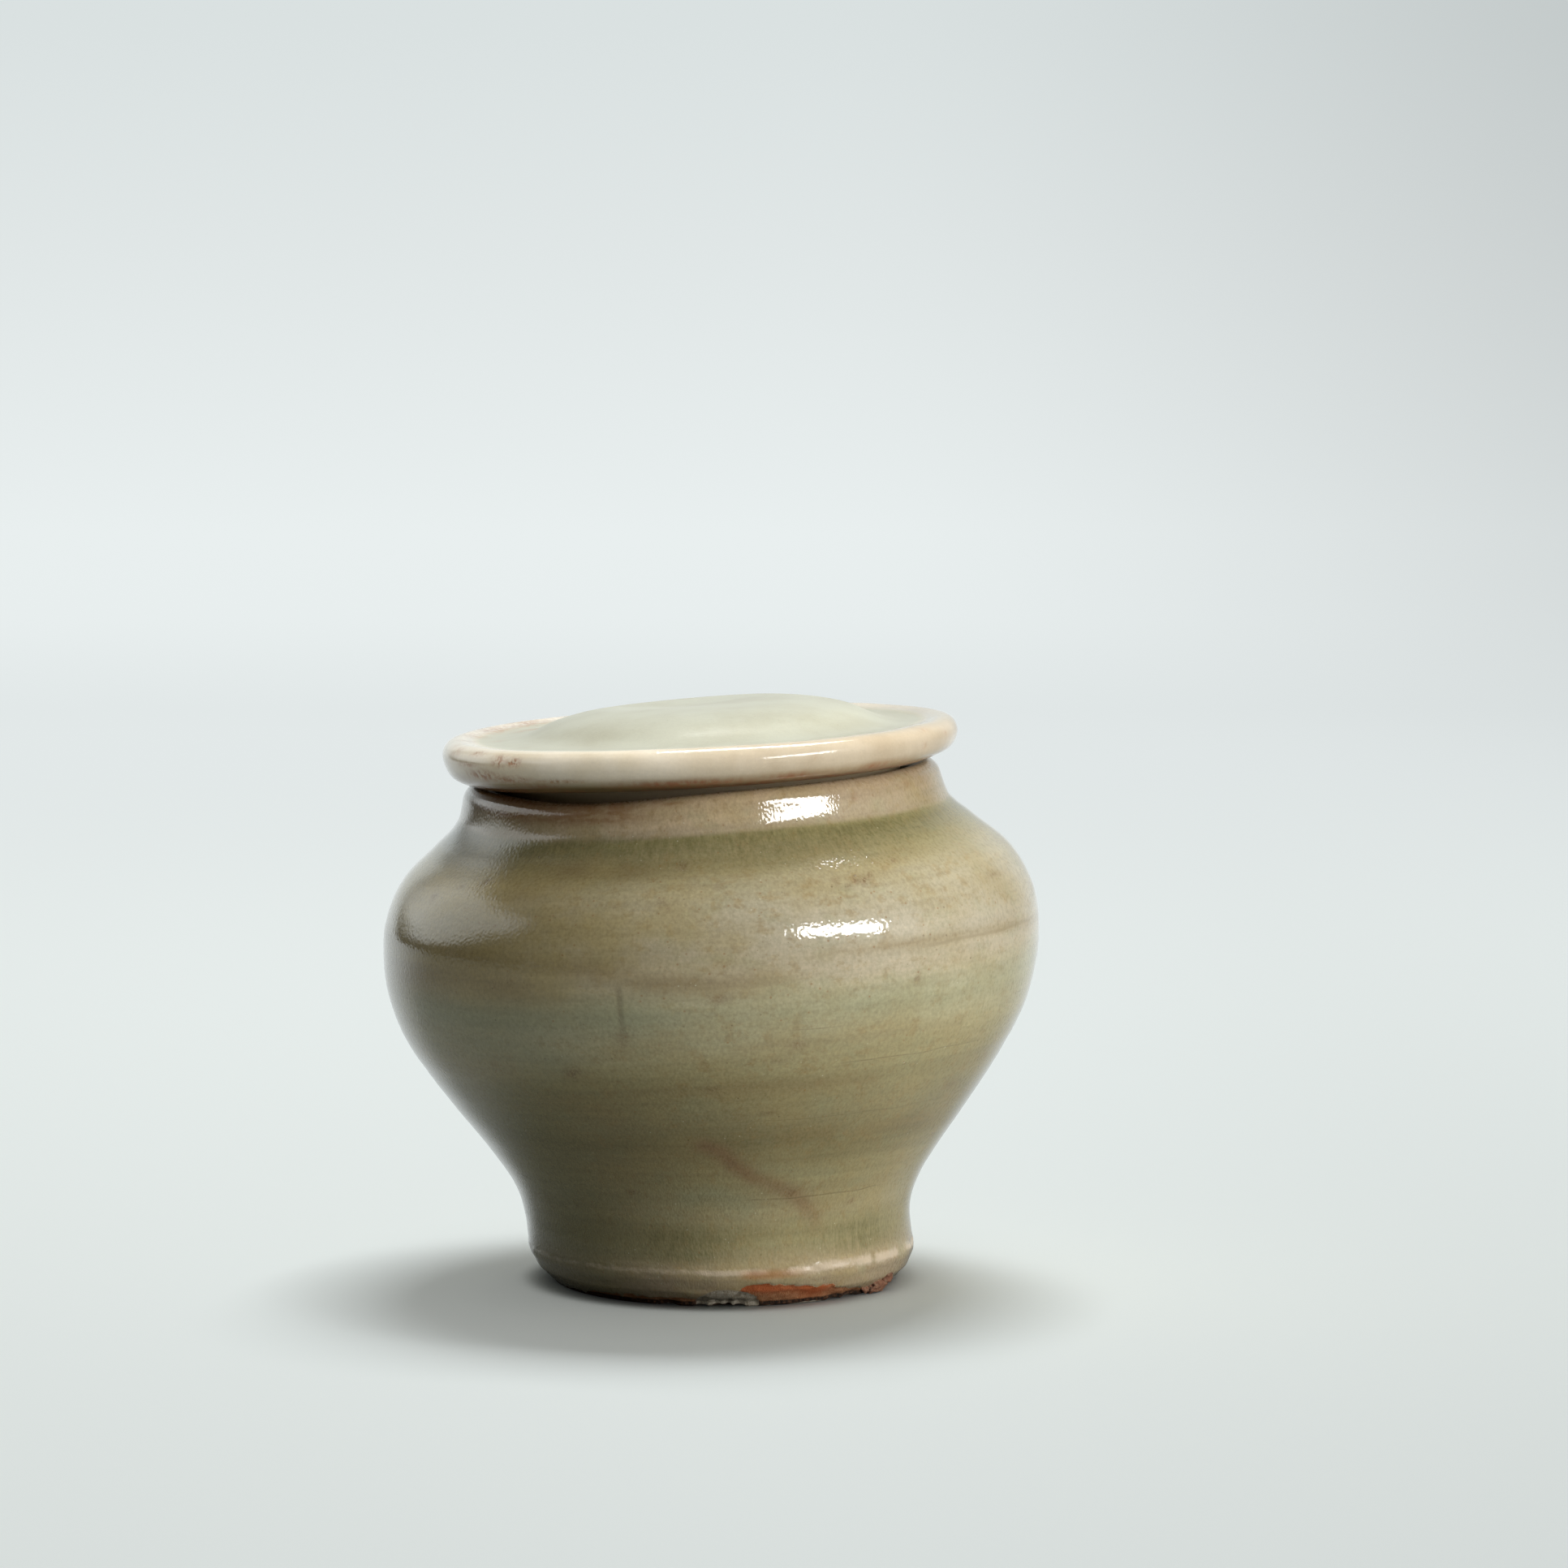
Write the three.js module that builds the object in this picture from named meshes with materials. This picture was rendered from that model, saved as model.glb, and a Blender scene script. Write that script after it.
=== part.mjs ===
// Covered celadon jar: a wheel-thrown stoneware jar that slumped a little to one side in the
// kiln, and the lid that rests on its mouth. Millimetres, +Z up, the foot stands on z = 0.
// The front of the jar faces -Y, and the jar leans towards -X.

import * as THREE from 'three';

const { lerp, smoothstep, degToRad } = THREE.MathUtils;

// Jar, as it came off the wheel
const FOOT_CONTACT_RADIUS = 20.8; // outer edge of the ring that touches the table
const FOOT_RING_WIDTH = 3.6;
const FOOT_RECESS = 2.6; // height of the hollow turned under the foot
const FOOT_EDGE_RADIUS = 23.6; // top edge of the turned bevel
const FOOT_EDGE_HEIGHT = 4;
const BELLY_RADIUS = 40;
const BELLY_HEIGHT = 42;
const NECK_RADIUS = 29.1;
const NECK_HEIGHT = 60.5;
const LIP_THICKNESS = 3.8;
const LIP_RISE = 1.8; // the lip is a half ellipse above the neck
const LIP_START = 17; // degrees up that ellipse, where the neck runs into it
const WALL_AT_NECK = 3.6;
const WALL_AT_FOOT = 5.8;
const FLOOR_HEIGHT = 8.2; // inside, on the axis
const FLOOR_RISE = 0.9; // how far the floor climbs before it meets the wall

// Finger ridges left inside by the thrower, one rising spiral
const RIDGE_DEPTH = 0.25;
const RIDGE_PITCH = 6.5;
const RIDGES_FROM = [9, 17]; // they fade in over these heights
const RIDGES_TO = [50, 57]; // and out over these

// Slump: each level tips its right side up, and its centre drifts towards -X
const FOOT_TIP = 1.3; // degrees, gained just above the foot
const WALL_TIP = 2; // degrees, gained over the lower wall
const FOOT_OFFSET = 0.28;
const FOOT_DRIFT = 0.78;
const WALL_DRIFT = 0.00072; // times the square of the height over the waist
const WAIST_HEIGHT = 10;

// The mouth sags at one place, at the front left, and a gap opens there under the lid
const SAG_DEPTH = 0.9;
const SAG_ANGLE = -122; // degrees from +X
const SAG_FOCUS = 9; // larger is narrower
const SAG_HEIGHTS = [51, 61]; // it grows over these

// Lid, upright, with z = 0 on the face that rests over the lip
const LID_RADIUS = 31.4;
const LID_EQUATOR_HEIGHT = 3.05; // widest line of the rolled rim
const LID_CREST_RADIUS = 29.5;
const LID_CREST_HEIGHT = 5.12;
const LID_SEAT_RADIUS = 28;
const LID_MOAT_RADIUS = 25.2;
const LID_MOAT_HEIGHT = 4.47;
const LID_DOME_HEIGHT = 7.88;
const LID_DOME_THICKNESS = 3.75;
const COLLAR_RADIUS = 24.4; // collar that drops into the mouth
const COLLAR_DEPTH = 4.3;
const COLLAR_THICKNESS = 2.4;
const COLLAR_TAPER = 0.6;
const RIM_TIP = 0.3; // degrees by which the seat leans more than the rim's crest
const RIM_DROOP = 0.38; // the seat also hangs lower at one place, over the left of the mouth
const RIM_DROOP_ANGLE = -160;
const RIM_DROOP_FOCUS = 5;
const DOME_TIP = 1.15; // degrees by which the dome leans more than the rim's crest
const DIMPLE_DEPTH = 0.7; // hollow on top, where the thrower's finger left the clay
const DIMPLE_RADIUS = 12;
const DIMPLE_X = -2;
const DIMPLE_Y = 4.5;

// Where the lid rests
const LID_TIP = 2.85; // degrees, less than the mouth, so the gap under it opens at the left
const LID_CENTRE_X = -2.4;
const LID_SEAT_HEIGHT = 62.85;

const SEGMENTS = 60; // round the axis of both pieces

const glazedJar = new THREE.MeshStandardMaterial({
  color: 0x958b6a,
  roughness: 0.22,
  metalness: 0,
});
const glazedLid = new THREE.MeshStandardMaterial({
  color: 0xc8c5a5,
  roughness: 0.25,
  metalness: 0,
});

function point(radius, height) {
  return new THREE.Vector2(radius, height);
}

// Stretch of an ellipse, angles in degrees from the outward horizontal
function arc(centre, halfWidth, halfHeight, from, to, steps) {
  const curve = new THREE.EllipseCurve(
    centre.x,
    centre.y,
    halfWidth,
    halfHeight,
    degToRad(from),
    degToRad(to),
  );
  return curve.getPoints(steps);
}

// Revolves a profile about Z. It runs from the axis below, round the outside, to the axis above.
function turn(profile) {
  const geometry = new THREE.LatheGeometry(profile, SEGMENTS);
  geometry.rotateX(Math.PI / 2);
  return geometry;
}

// Moves every vertex by a rule that knows which profile point it came from
function reshape(geometry, profile, rule) {
  const position = geometry.attributes.position;
  const vertex = new THREE.Vector3();
  for (let i = 0; i < position.count; i += 1) {
    vertex.fromBufferAttribute(position, i);
    rule(vertex, i % profile.length);
    position.setXYZ(i, vertex.x, vertex.y, vertex.z);
  }
  geometry.computeVertexNormals();
}

// Outside of the wall, from the foot's turned edge up to the start of the lip
function outerWall(lipStart) {
  return new THREE.SplineCurve([
    point(FOOT_EDGE_RADIUS, FOOT_EDGE_HEIGHT),
    point(FOOT_EDGE_RADIUS - 0.05, 8.3),
    point(24.75, 12.4),
    point(27.6, 16.9),
    point(31.2, 21.8),
    point(34.8, 26.9),
    point(37.8, 32),
    point(39.5, 37.1),
    point(BELLY_RADIUS, BELLY_HEIGHT),
    point(39.4, 46.7),
    point(37.05, 51.2),
    point(32.9, 54.9),
    point(30.15, 57.5),
    lipStart,
  ]);
}

// Inside of the wall, from neck to floor: the outside moved in by the wall's thickness
function innerWall(outside, steps) {
  const highest = 0.965;
  const lowest = 0.1;
  const points = [];
  for (let i = 0; i <= steps; i += 1) {
    const along = lerp(highest, lowest, i / steps);
    const tangent = outside.getTangent(along);
    const inward = point(-tangent.y, tangent.x);
    const thickness = lerp(WALL_AT_FOOT, WALL_AT_NECK, smoothstep(along, lowest, 0.7));
    points.push(outside.getPoint(along).addScaledVector(inward, thickness));
  }
  return points;
}

function footProfile() {
  const ringInner = FOOT_CONTACT_RADIUS - FOOT_RING_WIDTH;
  return [
    point(0, FOOT_RECESS),
    point(ringInner - 2.4, FOOT_RECESS),
    point(ringInner - 0.9, FOOT_RECESS * 0.7),
    point(ringInner, 0),
    point(FOOT_CONTACT_RADIUS, 0),
    point(22.6, 1.9),
  ];
}

function floorProfile(wallEnd) {
  const curve = new THREE.SplineCurve([
    wallEnd,
    point(wallEnd.x * 0.8, FLOOR_HEIGHT + FLOOR_RISE),
    point(wallEnd.x * 0.4, FLOOR_HEIGHT + 0.15),
    point(0, FLOOR_HEIGHT),
  ]);
  return curve.getPoints(6);
}

// Finger ridges push the wall in and out along a spiral
function throwingRidges(vertex) {
  const fadeIn = smoothstep(vertex.z, ...RIDGES_FROM);
  const fadeOut = 1 - smoothstep(vertex.z, ...RIDGES_TO);
  const turns = vertex.z / RIDGE_PITCH;
  const phase = 2 * Math.PI * turns - Math.atan2(vertex.y, vertex.x);
  const radius = Math.hypot(vertex.x, vertex.y);
  const scale = 1 + (RIDGE_DEPTH * fadeIn * fadeOut * Math.cos(phase)) / radius;
  vertex.x *= scale;
  vertex.y *= scale;
}

// Lowers the mouth at the place where it sagged
function sagMouth(vertex) {
  const away = Math.atan2(vertex.y, vertex.x) - degToRad(SAG_ANGLE);
  const share = Math.exp(SAG_FOCUS * (Math.cos(away) - 1));
  vertex.z -= SAG_DEPTH * share * smoothstep(vertex.z, ...SAG_HEIGHTS);
}

// Tips a level about its own centre and carries the centre sideways
function slump(vertex) {
  const height = vertex.z;
  const footTip = FOOT_TIP * smoothstep(height, 3, 9);
  const wallTip = WALL_TIP * smoothstep(height, 9, 40);
  const tip = degToRad(footTip + wallTip);
  const climb = Math.max(height - WAIST_HEIGHT, 0);
  const footDrift = FOOT_DRIFT * smoothstep(height, 0, WAIST_HEIGHT);
  const centre = FOOT_OFFSET - footDrift - WALL_DRIFT * climb * climb;
  vertex.z = height + vertex.x * Math.sin(tip);
  vertex.x = centre + vertex.x * Math.cos(tip);
}

function makeJar() {
  const lipCentre = point(NECK_RADIUS - LIP_THICKNESS / 2, NECK_HEIGHT);
  const lip = arc(lipCentre, LIP_THICKNESS / 2, LIP_RISE, LIP_START, 180, 8);
  const outside = outerWall(lip[0]);
  const inside = innerWall(outside, 34);
  const outerProfile = [...footProfile(), ...outside.getPoints(24), ...lip.slice(1)];
  const floor = floorProfile(inside[inside.length - 1]);
  const profile = [...outerProfile, ...inside, ...floor.slice(1)];
  const wallStart = outerProfile.length;
  const wallStop = wallStart + inside.length;

  const geometry = turn(profile);
  reshape(geometry, profile, (vertex, station) => {
    if (station >= wallStart && station < wallStop) {
      throwingRidges(vertex);
    }
    sagMouth(vertex);
    slump(vertex);
  });
  const jar = new THREE.Mesh(geometry, glazedJar);
  jar.name = 'jar_body';
  return jar;
}

// Underside of the dome, from the axis out to the collar
function lidUnderside(collarInner) {
  const ceiling = LID_DOME_HEIGHT - LID_DOME_THICKNESS;
  const curve = new THREE.SplineCurve([
    point(0, ceiling),
    point(9, ceiling - 0.2),
    point(17, ceiling - 1.2),
    point(20.4, ceiling - 2.7),
    point(collarInner + 0.2, 0),
  ]);
  return curve.getPoints(8);
}

// Rolled rim, moat and dome, from the seat's outer edge in to the axis
function lidTop() {
  const curve = new THREE.SplineCurve([
    point(LID_SEAT_RADIUS, 0),
    point(30.4, 1.05),
    point(LID_RADIUS, LID_EQUATOR_HEIGHT),
    point(30.8, 4.65),
    point(LID_CREST_RADIUS, LID_CREST_HEIGHT),
    point(27.5, 4.7),
    point(LID_MOAT_RADIUS, LID_MOAT_HEIGHT),
    point(23, 4.7),
    point(21, 5.25),
    point(17.6, 6.63),
    point(13, 7.51),
    point(7, 7.78),
    point(0, LID_DOME_HEIGHT),
  ]);
  return curve.getPoints(26);
}

// The dome leans a little more than the rim it rises from, and is dimpled on top. The rim hangs
// lower at the left, so its seat leans more than its crest.
function leanLid(vertex) {
  const radius = Math.hypot(vertex.x, vertex.y);
  const overDome = 1 - smoothstep(radius, 19, 24.5);
  const aboveCollar = smoothstep(vertex.z, 0, 2);
  const fromDimple = Math.hypot(vertex.x - DIMPLE_X, vertex.y - DIMPLE_Y);
  const dimple = DIMPLE_DEPTH * (1 - smoothstep(fromDimple, 0, DIMPLE_RADIUS));
  const underRim = 1 - smoothstep(vertex.z, 0, 3);
  const away = Math.atan2(vertex.y, vertex.x) - degToRad(RIM_DROOP_ANGLE);
  const drooping = Math.exp(RIM_DROOP_FOCUS * (Math.cos(away) - 1)) * smoothstep(radius, 20, 24);
  vertex.z += vertex.x * Math.tan(degToRad(RIM_TIP)) * underRim;
  vertex.z -= RIM_DROOP * drooping * underRim;
  vertex.z += vertex.x * Math.tan(degToRad(DOME_TIP)) * overDome * aboveCollar;
  vertex.z -= dimple * smoothstep(vertex.z, 5, 7);
}

function makeLid() {
  const halfCollar = COLLAR_THICKNESS / 2;
  const collarFoot = point(COLLAR_RADIUS - COLLAR_TAPER - halfCollar, halfCollar - COLLAR_DEPTH);
  const collarEdge = arc(collarFoot, halfCollar, halfCollar, 180, 360, 6);
  const profile = [
    ...lidUnderside(collarFoot.x - halfCollar),
    ...collarEdge,
    point(COLLAR_RADIUS, -0.4),
    point(COLLAR_RADIUS + 0.4, 0),
    ...lidTop(),
  ];
  const geometry = turn(profile);
  reshape(geometry, profile, leanLid);
  const lid = new THREE.Mesh(geometry, glazedLid);
  lid.name = 'lid';
  lid.position.set(LID_CENTRE_X, 0, LID_SEAT_HEIGHT);
  lid.rotation.y = -degToRad(LID_TIP);
  return lid;
}

// The origin is on the table under the middle of the jar's width
const coveredJar = new THREE.Group();
coveredJar.add(makeJar(), makeLid());
const extent = new THREE.Box3().setFromObject(coveredJar, true);
coveredJar.position.x = -(extent.min.x + extent.max.x) / 2;

export default coveredJar;
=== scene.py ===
"""Covered celadon jar: the finish of its two fired pieces, on a pale sweep under soft studio light.

Lengths are millimetres until a mesh is made. A place on the jar is given by two numbers: its turn, in
degrees round the axis with the front at -90, and its rise, the way up along the outline in
millimetres from the edge of the foot that touches the table.
"""

import bpy
import numpy as np
from math import cos, pi, radians, sin
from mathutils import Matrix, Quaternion, Vector


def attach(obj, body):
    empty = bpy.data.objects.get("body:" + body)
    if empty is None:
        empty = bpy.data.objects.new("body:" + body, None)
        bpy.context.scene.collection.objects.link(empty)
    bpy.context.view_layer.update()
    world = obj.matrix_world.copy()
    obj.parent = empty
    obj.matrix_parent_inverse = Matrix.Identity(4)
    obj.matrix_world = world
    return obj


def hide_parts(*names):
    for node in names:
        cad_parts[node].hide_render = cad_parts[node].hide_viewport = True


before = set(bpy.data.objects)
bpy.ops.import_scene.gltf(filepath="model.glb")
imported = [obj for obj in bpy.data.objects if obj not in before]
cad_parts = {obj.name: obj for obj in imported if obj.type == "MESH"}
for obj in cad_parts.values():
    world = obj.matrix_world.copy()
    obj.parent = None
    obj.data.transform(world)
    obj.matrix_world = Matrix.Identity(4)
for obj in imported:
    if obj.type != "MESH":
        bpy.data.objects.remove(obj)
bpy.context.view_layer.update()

MM = 0.001
SEAM = -270  # degrees: the grids start and end at the back

# Jar, as it came off the wheel
CONTACT_RADIUS = 20.8
RING_WIDTH = 3.6
FOOT_RECESS = 2.6
BEVEL_EDGE = (23.6, 4.0)
OUTER_WALL = [
    BEVEL_EDGE, (23.55, 8.3), (24.75, 12.4), (27.6, 16.9), (31.2, 21.8), (34.8, 26.9), (37.8, 32.0),
    (39.5, 37.1), (40.0, 42.0), (39.4, 46.7), (37.05, 51.2), (32.9, 54.9), (30.15, 57.5),
    (29.017, 61.026),
]
WALL_STEPS = 520
WALL_START = 4.25  # below it the foot's own points round the bevel's edge
LIP_CENTRE = (27.2, 60.5)
LIP_HALF = (1.9, 1.8)
LIP_START = 17  # degrees up the lip's rounding, where the neck runs into it
WALL_AT_NECK = 3.6
WALL_AT_FOOT = 5.8
INSIDE_STEPS = 1000
INSIDE_PART = slice(100, 966)  # the steps of the outer wall that the inside follows
FLOOR_HEIGHT = 8.2
CONTACT_POINT = 7  # place among the foot's points
FINGER_PITCH = 6.5  # of the thrower's ridges inside
FINGER_DEPTH = 0.25
JAR_TURNS = 400  # grid steps round the axis

# Slump of the jar in the kiln
FOOT_TIP = 1.3
FOOT_TIP_HEIGHTS = (3, 9)
WALL_TIP = 2.0
WALL_TIP_HEIGHTS = (9, 40)
FOOT_OFFSET = 0.28
FOOT_DRIFT = 0.78
WALL_DRIFT = 0.00072
WAIST_HEIGHT = 10
SAG_DEPTH = 0.9
SAG_HEIGHTS = (51, 61)
SAG_TURN = -122
SAG_FOCUS = 9

# Lid, upright, with height 0 at its seat
COLLAR_FOOT = (22.6, -3.1)
COLLAR_HALF = 1.2
LID_UNDERSIDE = [(0, 4.13), (9, 3.93), (17, 2.93), (20.4, 1.43), (21.6, 0)]
LID_TOP = [
    (28.0, 0), (30.45, 1.0), (31.4, 2.8), (30.95, 4.25), (29.55, 4.92), (27.5, 4.65), (25.2, 4.47),
    (23.0, 4.7), (21.0, 5.25), (17.6, 6.63), (13.0, 7.51), (7.0, 7.78), (0, 7.88),
]
LID_TOP_STEPS = 50  # from each point to the next
RIM_CREST = 4  # place in LID_TOP
DOME_FOOT = 7  # place in LID_TOP
RIM_TIP = 0.3
RIM_DROOP = 0.48
RIM_DROOP_TURN = -168
RIM_DROOP_FOCUS = 3.5
DOME_TIP = 1.15
DIMPLE_DEPTH = 0.7
DIMPLE_RADIUS = 12
DIMPLE_PLACE = (-2.0, 4.5)
LID_TIP = 2.85
LID_CENTRE_X = -2.4
LID_SEAT = 62.85
LID_TURNS = 400

# The wrap map of a piece holds turn and rise as numbers from 0 to 1
WRAP_START = -30
WRAP_SPAN = 240

# Camera
LENS = 137.9  # mm, for a picture 36 mm wide
CAMERA_PLACE = (0.0089157, -0.7283, 0.13104)
CAMERA_PITCH = 84.482


def place_camera():
    """Looks at the jar from nine widths away and a little above the lid."""
    lens = bpy.data.cameras.new("camera")
    lens.sensor_width = 36
    lens.lens = LENS
    camera = bpy.data.objects.new("camera", lens)
    camera.location = CAMERA_PLACE
    camera.rotation_euler = (radians(CAMERA_PITCH), 0, 0)
    bpy.context.scene.collection.objects.link(camera)
    bpy.context.scene.camera = camera


def smooth(value, start, end):
    """0 before start, 1 after end, and an even S-shaped climb between."""
    share = np.clip((value - start) / (end - start), 0, 1)
    return share * share * (3 - 2 * share)


def spline(points, steps):
    """A uniform Catmull-Rom curve through the points, at steps + 1 even shares of its parameter."""
    points = np.array(points, float)
    last = len(points) - 1
    along = np.linspace(0, 1, steps + 1) * last
    index = np.minimum(along.astype(int), last - 1)
    part = (along - index)[:, None]
    before, here = points[np.maximum(index - 1, 0)], points[index]
    after, later = points[index + 1], points[np.minimum(index + 2, last)]
    leave, arrive = (after - before) / 2, (later - here) / 2
    cubic = 2 * here - 2 * after + leave + arrive
    square = 3 * after - 3 * here - 2 * leave - arrive
    return cubic * part**3 + square * part**2 + leave * part + here


def half_ellipse(centre, half_width, half_height, start, end, steps):
    """Points round an ellipse from one angle to another, in degrees."""
    angle = np.radians(np.linspace(start, end, steps + 1))
    return np.c_[centre[0] + half_width * np.cos(angle), centre[1] + half_height * np.sin(angle)]


def lengths(outline):
    """Way along a polyline to each of its points."""
    steps = np.hypot(*np.diff(outline, axis=0).T)
    return np.concatenate([[0], np.cumsum(steps)])


def even_stations(stretches):
    """Joins stretches given as (start, end, count), each with evenly spaced stations."""
    return np.concatenate([np.linspace(a, b, n, endpoint=False) for a, b, n in stretches])


def grid_round(rise, steps):
    """Turn and rise at each point of a grid with one row per rise."""
    turn = SEAM + 360 * np.arange(steps) / steps
    return np.broadcast_arrays(turn[None, :], rise[:, None])


def outline_at(stations, way, outline):
    """Radius and height at the stations, and the direction out of the surface there, as columns."""
    radius = np.interp(stations, way, outline[:, 0])
    height = np.interp(stations, way, outline[:, 1])
    slope_r, slope_h = np.gradient(radius, stations), np.gradient(height, stations)
    size = np.hypot(slope_r, slope_h)
    return [column[:, None] for column in (radius, height, slope_h / size, -slope_r / size)]


def lumps(seed, turn, along, around, pitch):
    """Random heights from -1 to 1: a lattice that closes round the axis, with around cells per turn
    and cells of the given pitch along the outline, blended between its points by a smooth step."""
    first = float(along.min())
    rows = int((float(along.max()) - first) / pitch) + 2
    lattice = np.random.default_rng(seed).uniform(-1, 1, (rows + 1, around))
    u = (turn - SEAM) / 360 * around
    v = (along - first) / pitch
    column, row = np.floor(u).astype(int), np.floor(v).astype(int)
    s, t = smooth(u - column, 0, 1), smooth(v - row, 0, 1)
    left, right = column % around, (column + 1) % around
    low = lattice[row, left] * (1 - s) + lattice[row, right] * s
    high = lattice[row + 1, left] * (1 - s) + lattice[row + 1, right] * s
    return low * (1 - t) + high * t


def spot(turn, rise, place, size, radius):
    """1 at a place, fading as a bell over its size: half widths round the jar and up it, in mm."""
    across = np.radians(turn - place[0]) * radius / size[0]
    up = (rise - place[1]) / size[1]
    return np.exp(-(across**2) - up**2)


def bell(turn, at, half_width, radius):
    """1 at a turn, fading as a bell over half_width millimetres round the jar."""
    return np.exp(-((np.radians(turn - at) * radius / half_width) ** 2))


def path_glow(turn, rise, places, half_width, radius):
    """1 on a polyline of places, fading as a bell over half_width millimetres to each side."""
    across, up = np.radians(turn) * radius, rise
    nearest = np.full(np.broadcast(turn, rise).shape, np.inf)
    for start, end in zip(places[:-1], places[1:]):
        ax, ay = radians(start[0]) * radius, start[1]
        dx, dy = radians(end[0]) * radius - ax, end[1] - ay
        share = np.clip(((across - ax) * dx + (up - ay) * dy) / (dx * dx + dy * dy), 0, 1)
        nearest = np.minimum(nearest, np.hypot(across - ax - share * dx, up - ay - share * dy))
    return np.exp(-((nearest / half_width) ** 2))


def turned_piece(name, x, y, z, rise, material, marks):
    """A closed mesh from a grid with one row per station of the outline, from the axis below, round
    the outside, to the axis above, and one column per step round the axis. Each end gets one pole."""
    rows, turns = x.shape
    grid = np.stack([x, y, z], -1).reshape(-1, 3)
    poles = [grid[:turns].mean(0), grid[-turns:].mean(0)]
    vertices = np.concatenate([grid, poles]) * MM
    step = np.arange(turns)
    after = (step + 1) % turns
    base = (np.arange(rows - 1) * turns)[:, None]
    quads = np.stack([base + step, base + after, base + turns + after, base + turns + step], -1)
    south = np.full(turns, rows * turns)
    top = (rows - 1) * turns
    low_cap = np.stack([south, after, step], -1)
    high_cap = np.stack([top + step, top + after, south + 1], -1)
    faces = quads.reshape(-1, 4).tolist() + low_cap.tolist() + high_cap.tolist()
    mesh = bpy.data.meshes.new(name)
    mesh.from_pydata(vertices.tolist(), [], faces)
    mesh.polygons.foreach_set("use_smooth", np.ones(len(faces), bool))

    wrap = (rise - WRAP_START) / WRAP_SPAN
    left, right = step / turns, (step + 1) / turns
    low, high = np.repeat(wrap[:-1, None], turns, 1), np.repeat(wrap[1:, None], turns, 1)
    u = np.broadcast_to(np.stack([left, right, right, left], -1), (rows - 1, turns, 4))
    v = np.stack([low, low, high, high], -1)
    middle = (left + right) / 2
    low_uv = np.stack([middle, right, left], -1), np.full((turns, 3), wrap[0])
    high_uv = np.stack([left, right, middle], -1), np.full((turns, 3), wrap[-1])
    u = np.concatenate([u.ravel(), low_uv[0].ravel(), high_uv[0].ravel()])
    v = np.concatenate([v.ravel(), low_uv[1].ravel(), high_uv[1].ravel()])
    layer = mesh.uv_layers.new(name="wrap")
    layer.uv.foreach_set("vector", np.stack([u, v], -1).astype(np.float32).ravel())

    for mark, values in marks.items():
        ends = [values[0].mean(), values[-1].mean()]
        attribute = mesh.attributes.new(mark, "FLOAT", "POINT")
        attribute.data.foreach_set("value", np.concatenate([values.ravel(), ends]).astype(np.float32))
    mesh.update()
    mesh.validate()
    piece = bpy.data.objects.new(name, mesh)
    piece.data.materials.append(material)
    bpy.context.scene.collection.objects.link(piece)
    return piece


def jar_outline():
    """The jar's outline from the axis under the foot to the axis on its floor, as a fine polyline,
    with the lengths along it where the outside starts, where the lip ends and where the floor starts."""
    ring_inner = CONTACT_RADIUS - RING_WIDTH
    foot = np.array(
        [
            (0, FOOT_RECESS),
            (ring_inner - 2.9, FOOT_RECESS),
            (ring_inner - 2.2, FOOT_RECESS - 0.15),
            (ring_inner - 0.9, FOOT_RECESS * 0.7),
            (ring_inner - 0.12, 0.2),
            (ring_inner + 0.15, 0),
            (CONTACT_RADIUS - 0.25, 0),
            (CONTACT_RADIUS - 0.03, 0.1),
            (22.6, 1.9),
            (23.45, 3.6),
        ]
    )
    wall = spline(OUTER_WALL, WALL_STEPS)
    wall = wall[wall[:, 1] > WALL_START]
    lip = half_ellipse(LIP_CENTRE, *LIP_HALF, LIP_START, 180, 60)[1:]
    whole = spline(OUTER_WALL, INSIDE_STEPS)
    slope = np.gradient(whole, axis=0)
    inward = np.c_[-slope[:, 1], slope[:, 0]] / np.hypot(*slope.T)[:, None]
    share = np.linspace(0, 1, len(whole))
    thickness = WALL_AT_FOOT + (WALL_AT_NECK - WALL_AT_FOOT) * smooth(share, 0.1, 0.7)
    inside = (whole + inward * thickness[:, None])[INSIDE_PART][::-1]
    edge, _ = end = inside[-1]
    dish = [end, (0.8 * edge, FLOOR_HEIGHT + 0.9), (0.4 * edge, FLOOR_HEIGHT + 0.15), (0, FLOOR_HEIGHT)]
    floor = spline(dish, 60)[1:]
    outline = np.concatenate([foot, wall, lip, inside, floor])
    way = lengths(outline)
    contact = way[CONTACT_POINT]
    lip_end = way[len(foot) + len(wall) + len(lip) - 1]
    floor_start = way[len(outline) - len(floor) - 1]
    return outline, way, contact, lip_end, floor_start


# Radius of the jar, in mm, where a mark's width is measured
FOOT_RADIUS = 23
WAIST_RADIUS = 30
BELLY_RADIUS = 38
SHOULDER_RADIUS = 36
NECK_RADIUS = 29

# Marks of the jar. A path has its depth, half width, radius, its places as turn and rise, and, if it
# fades, the turns where it is gone and whole. A spot has turn, rise, half width, half height and depth.
POOL_LINE = 66.95
POOL_REACH = 4.2
FOOT_POOLS = [(-101, 5.5), (-40, 7), (60, 14)]  # turn and half width of each
FOOT_POOL_RISE = 8
SMEAR_RADIUS = 27
SMEAR_LINE = [(-92, 23.9), (-88, 22.6), (-85, 20.2), (-80, 18.1), (-75, 16.8), (-70, 15.6), (-66, 14.2),
              (-63, 12.8), (-60, 11)]
LEFT_BAND = [(-160, 50.6), (-137, 50.3), (-118, 49.2), (-108, 48.2), (-98, 46.9), (-88, 46.3), (-70, 47.2)]
RIGHT_BAND = [(-75, 49.3), (-50, 49.1), (-30, 48.8), (-8, 48.2), (30, 48.6), (90, 49.5)]
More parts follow.
